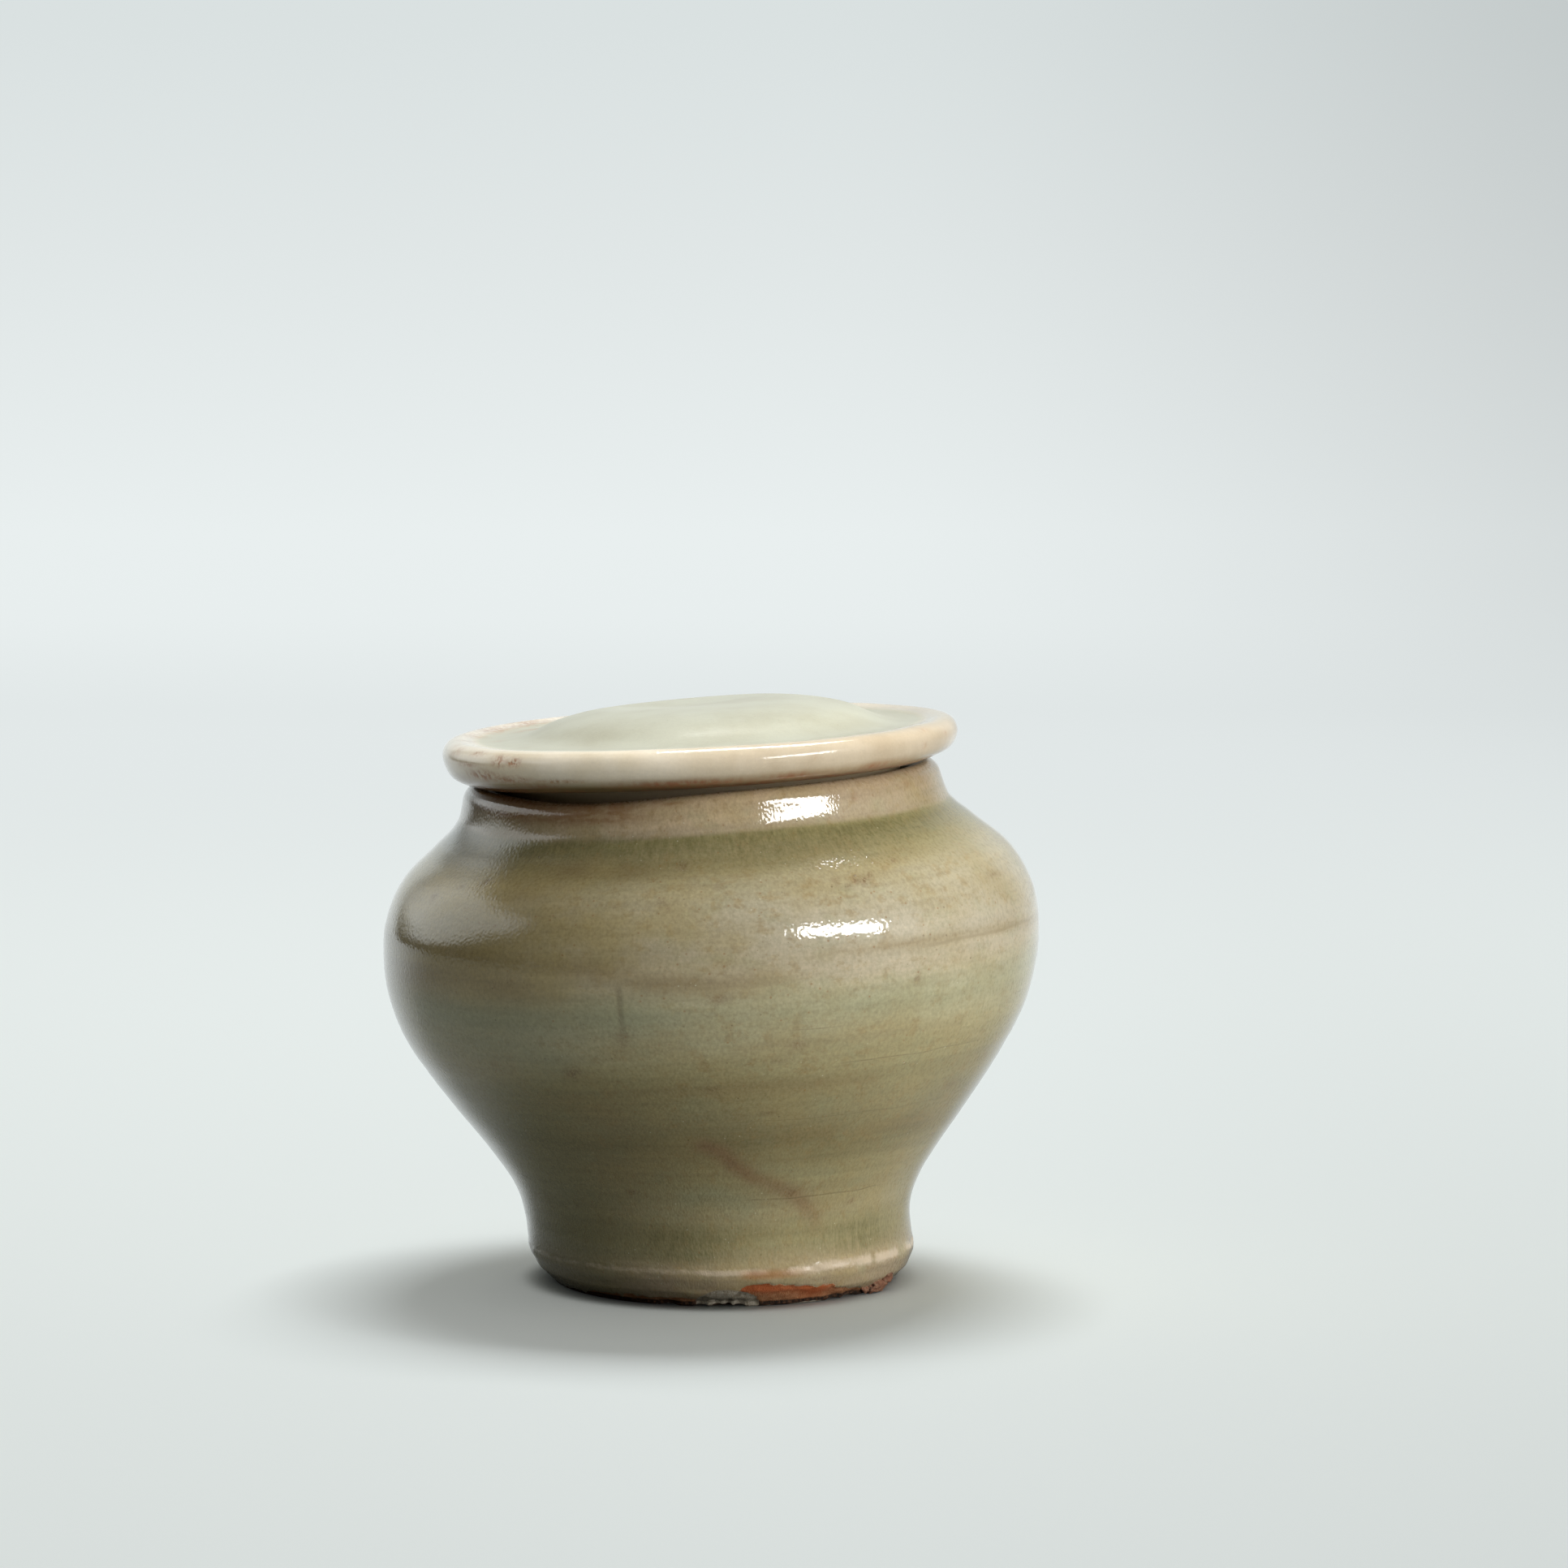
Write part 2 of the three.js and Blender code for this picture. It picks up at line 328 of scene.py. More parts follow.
LOW_BAND = [(-125, 30.5), (-116, 32), (-95, 32.6), (-75, 32.8), (-58, 32.2)]
BROWN_PATHS = [
    (0.8, 1.5, BELLY_RADIUS, LEFT_BAND, -72, -88),
    (0.75, 0.75, BELLY_RADIUS, RIGHT_BAND, -76, -62),
    (0.55, 1.3, BELLY_RADIUS, LOW_BAND),
    (0.4, 1.1, BELLY_RADIUS, [(-85, 38.3), (-60, 38.9), (-40, 38.2)]),
    (0.4, 1.0, 33, [(-80, 24.6), (-60, 24.9), (-30, 24.2)]),
    (1, 1.9, BELLY_RADIUS, [(-165, 47.5), (-140, 47.5), (-108, 45.6)], -106, -128),
]
BROWN_SPOTS = {
    WAIST_RADIUS: [(-112, 20, 6.5, 4.5, 0.4)],
    BELLY_RADIUS: [(-113, 29, 5.5, 4, 0.5), (-125, 55.5, 8, 6, 0.5)],
    SHOULDER_RADIUS: [(-117, 62.6, 5.5, 1.6, 0.9), (-104, 62.2, 4.0, 1.3, 0.9)],
}
GREY_BELT = [(1, 2.4, BELLY_RADIUS, [(-150, 43), (-120, 43), (-100, 43.2), (-75, 43.2)])]
GREY_PATHS = [
    (0.5, 3.0, BELLY_RADIUS, [(-150, 39), (-128, 39), (-120, 37)]),
    (0.5, 2.2, BELLY_RADIUS, [(-75, 43), (-45, 42.8), (10, 44)]),
    (0.6, 1.7, 25, [(-97, 15), (-90, 15.5), (-82, 13.4)]),
    (0.45, 1.0, 27, [(-80, 19.8), (-72, 19.2), (-60, 17.8)]),
]
LIP_SPOTS = [
    (-106, 71.2, 1.2, 0.4, 1), (-100, 71.4, 1.0, 0.35, 1), (-96, 71.0, 1.6, 0.3, 1),
    (-51, 69.6, 0.45, 0.4, 1), (-31.5, 70.2, 0.5, 0.4, 1), (-140, 70.6, 1.2, 0.5, 1),
    (-150, 70.2, 1.0, 0.5, 1), (20, 71, 2, 0.4, 1),
]
RUST_SPOTS = [
    (-94, 62.3, 0.8, 0.7, 0.7), (-106, 62.8, 0.6, 0.5, 0.35), (-65, 57.9, 0.4, 0.35, 0.9),
    (-61, 57.8, 0.55, 0.45, 0.9), (-59.5, 57.5, 0.6, 0.5, 0.95), (-57.5, 58.1, 0.35, 0.3, 0.8),
    (-63, 57.1, 0.5, 0.3, 0.6), (-50.5, 60, 0.4, 0.3, 0.7), (-87, 58.5, 0.5, 0.4, 0.55),
    (-97.5, 56.8, 0.4, 0.6, 0.5), (-96.5, 55.9, 0.3, 0.5, 0.5), (-26, 55.3, 1.6, 0.5, 0.45),
    (-137, 59.8, 0.6, 0.5, 0.8), (-143, 58.8, 0.6, 0.3, 0.6), (-150, 56.8, 0.8, 0.4, 0.8),
    (-88, 44.7, 1.0, 0.35, 0.8), (-52, 45, 0.35, 0.7, 0.6), (-116, 35.7, 1.3, 0.9, 0.6),
    (-74.5, 38.4, 1.0, 0.7, 0.45), (-33, 29.3, 1.6, 0.7, 0.45), (-69.5, 15.3, 0.6, 0.5, 0.8),
    (-112, 15.9, 1.0, 0.3, 0.8), (-49, 13, 0.7, 0.35, 0.7), (-90, 32.7, 0.8, 0.5, 0.5),
    (-105, 40.2, 0.9, 1.3, 0.35), (-78, 36.4, 1.2, 0.35, 0.35), (-79, 28.8, 0.9, 0.3, 0.55),
    (40, 58, 0.9, 0.6, 0.7), (75, 36, 0.7, 0.6, 0.7), (8, 30, 0.9, 0.5, 0.5), (150, 52, 0.8, 0.7, 0.7),
]
WORN_RISE = 5.45
CLAY_EDGE = [  # turn, and how far up the bare clay reaches there
    (-270, 0.3), (-145, 0.4), (-122, 1.1), (-100, 1.7), (-92, 1.3), (-86, 1.6), (-84.5, 3.2), (-82, 3.9),
    (-76, 3.6), (-70, 3.2), (-62, 3.1), (-55, 2.8), (-50, 2.2), (-45, 1.8), (-40, 1.2), (-36, 1.0),
    (-20, 0.8), (0, 0.5), (90, 0.3),
]
CHIP_TURN = -88.5
CHIP_HALF = (10.5, 3.1)  # degrees round the foot, mm up it
FIRE_SPOTS = [(-80, 3.4, 3.2, 0.8, 1), (-60, 2.2, 2.2, 1.4, 1), (-70, 2.8, 6, 0.7, 0.7)]
FOOT_BITES = [  # turn, half width in degrees and depth in mm
    (-91.5, 2.0, 0.35), (-88, 1.4, 0.45), (-84.5, 1.8, 0.3), (-97, 2.2, 0.25), (-50, 2.5, 0.2),
    (-43, 3.0, 0.3), (-108, 3, 0.2), (30, 3, 0.4), (-242, 2, 0.5),
]


def deepest_path(turn, rise, paths):
    """The deepest of several paths at each place."""
    deepest = np.zeros(np.broadcast(turn, rise).shape)
    for depth, half_width, radius, places, *fade in paths:
        glow = depth * path_glow(turn, rise, places, half_width, radius)
        if fade:
            glow = glow * smooth(turn, *fade)
        deepest = np.maximum(deepest, glow)
    return deepest


def deepest_spot(turn, rise, spots, radius):
    """The deepest of several spots at each place."""
    deepest = np.zeros(np.broadcast(turn, rise).shape)
    for at, up, wide, tall, depth in spots:
        at = at - 360 if at > 90 else at
        deepest = np.maximum(deepest, depth * spot(turn, rise, (at, up), (wide, tall), radius))
    return deepest


def glaze_pools(turn, rise):
    """Thick glaze: it hangs below a line under the neck, and gathers above the foot at three places."""
    flat = rise * 0
    line = POOL_LINE - 0.004 * (turn + 125) + 0.7 * bell(turn, -115, 9, WAIST_RADIUS)
    line = line + 0.16 * lumps(12, turn, flat, 30, 1)
    reach = POOL_REACH + 2.0 * bell(turn, -62, 9, WAIST_RADIUS) + 0.8 * lumps(13, turn, flat, 24, 1)
    neck_pool = smooth(line - rise, -0.45, 0.6) * (1 - smooth(line - rise, 0.3, reach + 3))
    foot_pool = smooth(rise, 6.1, 7.4) * (1 - smooth(rise, 9.5, 12.5))
    thick = sum(spot(turn, rise, (at, FOOT_POOL_RISE), (wide, 99), FOOT_RADIUS) for at, wide in FOOT_POOLS)
    return np.maximum(neck_pool, foot_pool * (0.25 + 0.75 * np.clip(thick, 0, 1)))


def brown_marks(turn, rise, wander):
    """Brown bands and blotches."""
    brown = deepest_path(turn, rise, BROWN_PATHS)
    for radius, spots in BROWN_SPOTS.items():
        brown = np.maximum(brown, deepest_spot(turn, rise, spots, radius))
    return np.clip(brown * (1 + 0.35 * wander), 0, 1)


def grey_marks(turn, rise, wander):
    """Grey-green bands. The belt round the belly weakens from the left to the front: partly its own colour,
    partly painted shade that darkens the left.
    """
    # Painted shade: the belt kept stronger at the left darkens that side
    grey = deepest_path(turn, rise, GREY_BELT) * (0.9 - 0.5 * smooth(turn, -104, -92))
    grey = np.maximum(grey, deepest_path(turn, rise, GREY_PATHS))
    return np.clip(grey * (1 + 0.3 * wander), 0, 1)


def lip_stain(turn, rise):
    """The brown stain under the lip at the left, and small spots along the lip."""
    stain = smooth(rise, 68.6, 70.0) * smooth(rise, 73.5, 72.5) * smooth(turn, -96, -112)
    stain *= smooth(turn, -168, -150)
    return np.maximum(stain, deepest_spot(turn, rise, LIP_SPOTS, NECK_RADIUS))


def worn_edge(turn, rise, wander):
    """Glaze worn thin along the edge above the bevel, with gaps, and weaker at the left and the back."""
    spread = 0.42 + 0.3 * bell(turn, -45, 9, FOOT_RADIUS)
    worn = np.exp(-(((rise - WORN_RISE - 0.2 * wander) / spread) ** 2))
    worn *= 0.55 + 0.45 * smooth(turn, -104, -88)
    worn *= 1 - 0.55 * smooth(turn, 0, 60)
    return worn * (1 - 0.85 * np.clip(lumps(14, turn, rise * 0, 90, 1) - 0.45, 0, 1) / 0.55)


def foot_marks(turn, rise):
    """Bare clay below a ragged edge, the chip in it and its fire flashes."""
    ragged = 0.28 * lumps(15, turn, rise, 180, 0.5) + 0.3 * lumps(16, turn, rise, 60, 1.2)
    clay_top = np.interp(turn, *np.transpose(CLAY_EDGE))
    clay = smooth(clay_top + ragged * 1.1 - rise, -0.3, 0.3)
    across = (turn - CHIP_TURN) / CHIP_HALF[0]
    chip_top = CHIP_HALF[1] * np.sqrt(np.clip(1 - across**2, 0, 1))
    chip = smooth(chip_top + ragged * 0.4 - rise, -0.2, 0.3) * smooth(rise, -0.5, 0.1)
    fire = 0
    for at, up, wide, tall, depth in FIRE_SPOTS:
        fire = fire + depth * spot(turn, rise, (at, up), (wide, tall), FOOT_RADIUS)
    return clay, chip, np.clip(fire, 0, 1)


def jar_marks(turn, rise):
    """Where the glaze and the bare clay differ from the rest, each from 0 to 1 over the grid."""
    wander = lumps(11, turn, rise, 40, 2.2)
    smear = path_glow(turn, rise, SMEAR_LINE, 1.15, SMEAR_RADIUS) * (1 - 0.45 * smooth(turn, -68, -60))
    clay, chip, fire = foot_marks(turn, rise)
    return {
        "pale": 0.6 * spot(turn, rise, (-44, 49.5), (12, 3.0), BELLY_RADIUS) * (1 + 0.3 * wander),
        "pool": glaze_pools(turn, rise),
        "smear": smear,
        "brown": brown_marks(turn, rise, wander),
        "grey": grey_marks(turn, rise, wander),
        "stain": lip_stain(turn, rise),
        "rust": deepest_spot(turn, rise, RUST_SPOTS, SHOULDER_RADIUS),
        "worn": worn_edge(turn, rise, wander),
        "clay": clay,
        "chip": chip,
        "fire": fire,
    }


def jar_surface_relief(turn, rise, marks):
    """How far the surface stands out from its turned outline, in mm, outside the jar."""
    outside = smooth(rise, 0.2, 1.5) * (1 - smooth(rise, 70, 72))
    on_wall = smooth(rise, 6, 9) * (1 - smooth(rise, 66, 69))
    slow = 0.11 * lumps(21, turn, rise, 9, 14)
    rings = 0.022 * lumps(22, turn, rise, 3, 1.5) + 0.03 * lumps(23, turn, rise, 2, 3.1)
    bevel = smooth(rise, 0.4, 1.2) * (1 - smooth(rise, 4.6, 6.5))
    turned = bevel * (0.05 * lumps(24, turn, rise, 14, 1.1) + 0.05 * lumps(25, turn, rise, 50, 0.9))
    edge = 0.12 * marks["worn"] * lumps(26, turn, rise, 120, 0.6)
    glaze = 0.1 * marks["pool"] * (rise > 50) + 0.05 * marks["pool"] * (rise < 20)
    grit = 0.05 * marks["clay"] * lumps(27, turn, rise, 260, 0.35)
    bare = -0.16 * marks["clay"] * smooth(rise, 0.1, 0.5) + grit
    chipped = -0.1 * marks["chip"] + 0.04 * marks["chip"] * lumps(28, turn, rise, 160, 0.5)
    return slow * outside + rings * on_wall + turned + edge + glaze + bare + chipped


def foot_notches(turn, rise):
    """Depth of the bites out of the foot's lower edge."""
    depth = np.zeros_like(turn + rise)
    for at, wide, deep in FOOT_BITES:
        depth = np.maximum(depth, deep * np.exp(-(((turn - at) / wide) ** 4)))
    return depth * (1 - smooth(np.abs(rise), 0.3, 1.3))


def sag(turn, height):
    """How far the mouth has sunk at its one weak place."""
    share = np.exp(SAG_FOCUS * (np.cos(np.radians(turn - SAG_TURN)) - 1))
    return SAG_DEPTH * share * smooth(height, *SAG_HEIGHTS)


def slump(x, height):
    """Tips each level about its centre and carries the centre sideways. Returns x and z."""
    tip = FOOT_TIP * smooth(height, *FOOT_TIP_HEIGHTS) + WALL_TIP * smooth(height, *WALL_TIP_HEIGHTS)
    tip = np.radians(tip)
    climb = np.maximum(height - WAIST_HEIGHT, 0)
    centre = FOOT_OFFSET - FOOT_DRIFT * smooth(height, 0, WAIST_HEIGHT) - WALL_DRIFT * climb**2
    return centre + x * np.cos(tip), height + x * np.sin(tip)


def widest_middle(outline):
    """Where the middle of the slumped jar's width lies, so that the jar can be set over the origin."""
    turn = np.linspace(-pi, pi, 721)
    x = outline[:, :1] * np.cos(turn)
    x, _ = slump(x, outline[:, 1:] + 0 * x)
    return (x.min() + x.max()) / 2


def make_jar(material):
    """The jar: its outline turned about the axis, pushed out or in by the relief, then slumped."""
    outline, way, contact, lip_end, floor_start = jar_outline()
    total = way[-1]
    stations = even_stations(
        [
            (0.8, contact - 3.6, 12),
            (contact - 3.6, contact - 0.4, 6),
            (contact - 0.4, contact + 7, 36),
            (contact + 7, contact + 60, 88),
            (contact + 60, lip_end, 38),
            (lip_end, floor_start, 50),
            (floor_start, total - 0.5, 10),
        ]
    )
    radius, height, out_r, out_h = outline_at(stations, way, outline)
    rise = stations - contact
    turns, rises = grid_round(rise, JAR_TURNS)
    marks = jar_marks(turns, rises)
    past_lip = smooth(rises, lip_end - contact - 1, lip_end - contact + 3)
    for name in marks:
        if name not in ("clay", "chip"):
            marks[name] = marks[name] * (1 - past_lip) * smooth(rises, -0.5, 0.5)
    relief = jar_surface_relief(turns, rises, marks) * (1 - past_lip) * smooth(rises, -0.1, 0.4)
    relief = relief - foot_notches(turns, rises)

    spiral = np.cos(2 * pi * height / FINGER_PITCH - np.radians(turns))
    depth = FINGER_DEPTH * smooth(height, 9, 17) * (1 - smooth(height, 50, 57))
    depth = depth * (stations > lip_end)[:, None]
    r = radius + out_r * relief + depth * spiral
    h = np.maximum(height + out_h * relief, 0)
    h = h - sag(turns, h)
    x, z = slump(r * np.cos(np.radians(turns)), h)
    x -= widest_middle(outline)
    return turned_piece("celadon_jar", x, r * np.sin(np.radians(turns)), z, rise, material, marks)


def lid_outline():
    """The lid's outline from the axis under the dome, round the collar and rim, to the axis on top,
    with the lengths along it where the seat, the rim's crest and the dome's foot lie."""
    collar = half_ellipse(COLLAR_FOOT, COLLAR_HALF, COLLAR_HALF, 180, 360, 30)
    under = spline(LID_UNDERSIDE, 80)
    top = spline(LID_TOP, LID_TOP_STEPS * (len(LID_TOP) - 1))
    seat = np.array([(24.4, -0.4), (24.8, 0)])
    outline = np.concatenate([under[:-1], collar, seat, top])
    way = lengths(outline)
    first = len(under) - 1 + len(collar) + len(seat)
    crest, dome = first + LID_TOP_STEPS * RIM_CREST, first + LID_TOP_STEPS * DOME_FOOT
    return outline, way, way[first], way[crest], way[dome]


LID_RADIUS = 30  # where the widths of its marks are measured
LID_RUST_SPOTS = [
    (-134, 5.6, 0.9, 0.5, 1.9), (-139, 5.7, 1.1, 0.8, 1.3), (-152, 4.9, 2.6, 0.3, 1.0),
    (-146, 3.8, 3.4, 0.6, 1.3), (-136, 3.5, 3.0, 0.4, 1.1), (-122, 3.3, 3.0, 0.3, 0.9),
    (-149, 6.6, 1.6, 0.5, 0.9), (-160, 6.6, 1.6, 1.0, 0.5), (-166, 7.5, 1.6, 1.2, 0.45),
    (172, 9.4, 3.0, 1.5, 0.8), (157, 9.6, 4.5, 1.7, 1.0), (142, 9.4, 4.5, 1.6, 1.0),
    (-174, 8.8, 2.0, 1.2, 0.6), (152, 14.2, 2.2, 1.8, 0.8), (125, 8.0, 3.5, 0.7, 0.5),
    (100, 7.8, 4.5, 0.6, 0.5), (62, 7.8, 5.0, 0.7, 0.55), (48, 7.7, 3.0, 0.5, 0.6),
    (30, 7.4, 2.2, 0.5, 0.4), (150, 14.5, 1.6, 1.3, 0.55), (158, 13.4, 1.3, 1.0, 0.6),
    (142, 15.5, 1.6, 1.0, 0.45), (-175, 13.0, 1.2, 0.8, 0.35), (-30, 4.4, 0.5, 0.5, 0.5),
    (-18, 5.4, 0.4, 0.4, 0.5), (-64, 5.0, 0.35, 0.35, 0.4), (-28, 6.6, 0.9, 0.4, 0.4),
]
LID_PITS = [(-134, 5.6, 0.35, 0.12), (-139, 6.0, 0.3, 0.08), (-30, 4.4, 0.3, 0.06)]


def towards(turn, place, start, end):
    """A climb from 0 to 1 towards a turn: start and end are cosines of the angle to it."""
    return smooth(np.cos(np.radians(turn - place)), start, end)


def lid_marks(turn, rise, crest):
    """Stains and thin places of the lid's glaze. rise is the way from the seat's outer edge."""
    wander = lumps(31, turn, rise, 50, 1.5)
    bead = smooth(rise, -0.5, 0.5) * (1 - smooth(rise, crest + 1.0, crest + 3.2))
    under = (1 - smooth(rise, 0.9, 2.2)) * smooth(rise, -3.0, -1.0)
    low_edge = (1 - smooth(rise, 2.4, 3.8)) * smooth(rise, -1, 0.5) * (0.8 + 0.4 * wander)
    stain = under * (0.25 + 0.75 * towards(turn, -62, 0.55, 0.98))
    stain = np.maximum(stain, low_edge * towards(turn, -72, 0.72, 0.9))
    stain = np.maximum(stain, low_edge * 0.7 * towards(turn, -158, 0.75, 0.92))
    stain = np.maximum(stain, under * 0.8 * towards(turn, -150, 0.7, 1))
    return {
        "bead": bead,
        "stain": np.clip(stain * (1 + 0.5 * wander), 0, 1),
        "rust": deepest_spot(turn, rise, LID_RUST_SPOTS, LID_RADIUS),
        "thin": np.exp(-(((rise - crest) / 1.5) ** 2)) * (0.75 + 0.25 * wander),
    }


def lid_surface_relief(turn, rise, crest):
    """How far the surface stands out from its turned outline, in mm: slow lumps, finer along the rolled
    rim, and three small pits."""
    outer = smooth(rise, 0.3, 2.5)
    bead = outer * (1 - smooth(rise, crest + 2, crest + 5))
    relief = bead * (0.12 * lumps(41, turn, rise, 10, 6) + 0.06 * lumps(42, turn, rise, 34, 2.2))
    relief += outer * (0.05 * lumps(43, turn, rise, 6, 9) + 0.006 * lumps(44, turn, rise, 2, 2.4))
    for at, up, wide, deep in LID_PITS:
        relief -= deep * spot(turn, rise, (at, up), (wide, wide), LID_RADIUS)
    return relief


def make_lid(material):
    """The lid: its outline turned about its axis, uneven along the rolled rim, with the dome leaned
    and dimpled, then tipped and set on the mouth."""
    outline, way, seat, rim, dome = lid_outline()
    total = way[-1]
    stations = even_stations(
        [
            (1, seat - 8, 20),
            (seat - 8, seat - 0.5, 22),
            (seat - 0.5, rim + 4, 64),
            (rim + 4, dome + 4, 44),
            (dome + 4, total - 0.6, 40),
        ]
    )
    radius, height, out_r, out_h = outline_at(stations, way, outline)
    rise, crest = stations - seat, rim - seat
    turns, rises = grid_round(rise, LID_TURNS)
    marks = lid_marks(turns, rises, crest)
    relief = lid_surface_relief(turns, rises, crest)
    r, z = radius + out_r * relief, height + out_h * relief

    x, y = r * np.cos(np.radians(turns)), r * np.sin(np.radians(turns))
    over_dome = (1 - smooth(r, 19, 24.5)) * smooth(z, 0, 2)
    under_rim = 1 - smooth(z, 0, 3)
    drooping = np.exp(RIM_DROOP_FOCUS * (np.cos(np.radians(turns - RIM_DROOP_TURN)) - 1))
    drooping = drooping * smooth(r, 20, 24)
    z = z + (x * np.tan(radians(RIM_TIP)) - RIM_DROOP * drooping) * under_rim
    z = z + x * np.tan(radians(DOME_TIP)) * over_dome
    from_dimple = np.hypot(x - DIMPLE_PLACE[0], y - DIMPLE_PLACE[1])
    z = z - DIMPLE_DEPTH * (1 - smooth(from_dimple, 0, DIMPLE_RADIUS)) * smooth(z, 5, 7)

    tip = radians(LID_TIP)
    jar_middle = widest_middle(jar_outline()[0])
    place_x = x * cos(tip) - z * sin(tip) + LID_CENTRE_X - jar_middle
    place_z = x * sin(tip) + z * cos(tip) + LID_SEAT
    return turned_piece("celadon_lid", place_x, y, place_z, rise, material, marks)


def tint(red, green, blue):
    """A colour given as it looks on a screen, 0 to 255, turned into linear light."""
    value = np.array([red, green, blue]) / 255
    linear = np.where(value <= 0.04045, value / 12.92, ((value + 0.055) / 1.055) ** 2.4)
    return (*(float(x) for x in linear), 1.0)


class Recipe:
    """Builds a material's nodes. Most methods add nodes and return an output, and an input may be
    another node's output or a plain value. Those that finish the material return it."""

    def __init__(self, name, owner=None):
        self.material = owner or bpy.data.materials.new(name)
        self.material.use_nodes = True
        self.nodes = self.material.node_tree.nodes
        self.links = self.material.node_tree.links
        self.nodes.clear()

    def node(self, kind, inputs=(), **settings):
        made = self.nodes.new("ShaderNode" + kind)
        for key, value in settings.items():
            setattr(made, key, value)
        for key, value in dict(inputs).items():
            self.feed(made.inputs[key], value)
        return made

    def feed(self, socket, value):
        if isinstance(value, bpy.types.NodeSocket):
            self.links.new(value, socket)
        else:
            socket.default_value = value

    def math(self, operation, *values):
        return self.node("Math", enumerate(values), operation=operation).outputs[0]

    def times(self, first, *others):
        """The product of all the values."""
        for other in others:
            first = self.math("MULTIPLY", first, other)
        return first

    def around_one(self, noise, swing):
        """A shade from a noise: 1 where the noise is at its middle, with a given swing over its range."""
        return self.math("MULTIPLY_ADD", noise, swing, 1 - swing / 2)

    def climb(self, value, start, end, low=0.0, high=1.0):
        """Low before start, high after end, and an even S-shaped climb between."""
        inputs = {0: value, 1: start, 2: end, 3: low, 4: high}
        made = self.node("MapRange", inputs, interpolation_type="SMOOTHSTEP")
        return made.outputs[0]

    def between(self, value, low_edge, high_edge):
        """1 inside a stretch, each of its edges given as the pair of values where it fades from 0 to 1."""
        return self.times(self.climb(value, *low_edge), self.climb(value, *high_edge))

    def mix(self, share, first, second, blend="MIX"):
        made = self.node("Mix", data_type="RGBA", blend_type=blend)
        self.feed(made.inputs[0], share)
        self.feed(made.inputs[6], first)
        self.feed(made.inputs[7], second)
        return made.outputs[2]

    def shaded(self, colour, shade):
        """The colour made darker or lighter by a grey."""
        grey = self.node("CombineColor", {0: shade, 1: shade, 2: shade}).outputs[0]
        return self.mix(1.0, colour, grey, "MULTIPLY")

    def attribute(self, name):
        return self.node("Attribute", attribute_name=name).outputs["Fac"]

    def noise(self, vector, stretch, detail=2.0, roughness=0.5):
        """Noise whose lumps are 1 / stretch millimetres long each way."""
        scaled = self.node("VectorMath", {0: vector, 1: stretch}, operation="MULTIPLY")
        inputs = {"Vector": scaled.outputs[0], "Scale": 1.0, "Detail": detail, "Roughness": roughness}
        return self.node("TexNoise", inputs).outputs[0]

    def noises(self, vector, table):
        """The noises of a table, by name."""
        return {name: self.noise(vector, *settings) for name, settings in table.items()}

    def specks(self, vector, per_mm, low, high):
        """Round specks: 1 inside, from the distance to scattered points."""
        scaled = self.node("VectorMath", {0: vector, 1: (per_mm,) * 3}, operation="MULTIPLY")
        points = self.node("TexVoronoi", {"Vector": scaled.outputs[0], "Scale": 1.0})
        return self.climb(points.outputs["Distance"], high, low)

    def ramp(self, value, stops):
        made = self.node("ValToRGB", {0: value})
        elements = made.color_ramp.elements
        while len(elements) < len(stops):
            elements.new(0.5)
        for element, (place, colour) in zip(elements, stops):
            element.position = place
            element.color = colour
        return made.outputs[0]

    def place_in_mm(self):
        """The place in the object, in millimetres."""
        place = self.node("TexCoord").outputs["Object"]
        inputs = {0: place, 1: (1 / MM,) * 3}
        return self.node("VectorMath", inputs, operation="MULTIPLY").outputs[0]

    def wrapped(self, radius):
        """Turn in degrees, rise in mm, and a place on a cylinder of that radius, from the wrap map."""
        wrap = self.node("UVMap", uv_map="wrap").outputs[0]
        split = self.node("SeparateXYZ", {0: wrap})
        turn = self.math("MULTIPLY_ADD", split.outputs[0], 360.0, float(SEAM))
        rise = self.math("MULTIPLY_ADD", split.outputs[1], float(WRAP_SPAN), float(WRAP_START))
        angle = self.math("RADIANS", turn)
        x = self.times(self.math("COSINE", angle), float(radius))
        y = self.times(self.math("SINE", angle), float(radius))
        place = self.node("CombineXYZ", {0: x, 1: y, 2: rise}).outputs[0]
        return turn, rise, place

    def fine_line(self, turn, rise, place, start, end, level, width, sway):
        """A line round the jar at a level, from one turn to another, swaying with noise."""
        bend = self.math("MULTIPLY_ADD", self.noise(place, (0.12, 0.12, 0.0)), sway, level - sway / 2)
        off = self.math("ABSOLUTE", self.math("SUBTRACT", rise, bend))
        line = self.climb(off, width, width * 0.2)
        return self.times(line, self.between(turn, (start, start + 6), (end, end - 8)))

    def bump(self, relief):
        """The surface moved out or in by a relief in millimetres."""
        return self.node("Bump", {"Height": relief, "Distance": MM, "Strength": 1.0}).outputs[0]

    def openness(self, reach):
        """1 in the open, less where something stands within reach of the surface."""
        return self.node("AmbientOcclusion", {"Distance": reach}, samples=8).outputs["AO"]

    def finish(self, shader, kind="OutputMaterial"):
        """Ends the material, or the world, with this shader."""
        self.feed(self.node(kind).inputs[0], shader)
        return self.material

    def clay_body(self, inputs):
        """Fired clay or glaze, from the inputs of a principled shader."""
        return self.finish(self.node("BsdfPrincipled", inputs).outputs[0])

    def glazed(self, colour, roughness, relief, coat, coat_roughness, coat_ior, sheen):
        """A coloured glaze under a clear coat, both with the same relief."""
        bump = self.bump(relief)
        return self.clay_body(
            {
                "Base Color": colour,
                "Roughness": roughness,
                "IOR": GLAZE_IOR,
                "Normal": bump,
                "Coat Weight": coat,
                "Coat Roughness": coat_roughness,
                "Coat IOR": coat_ior,
                "Coat Normal": bump,
                "Specular IOR Level": sheen,
            }
        )


GLAZE_IOR = 1.55

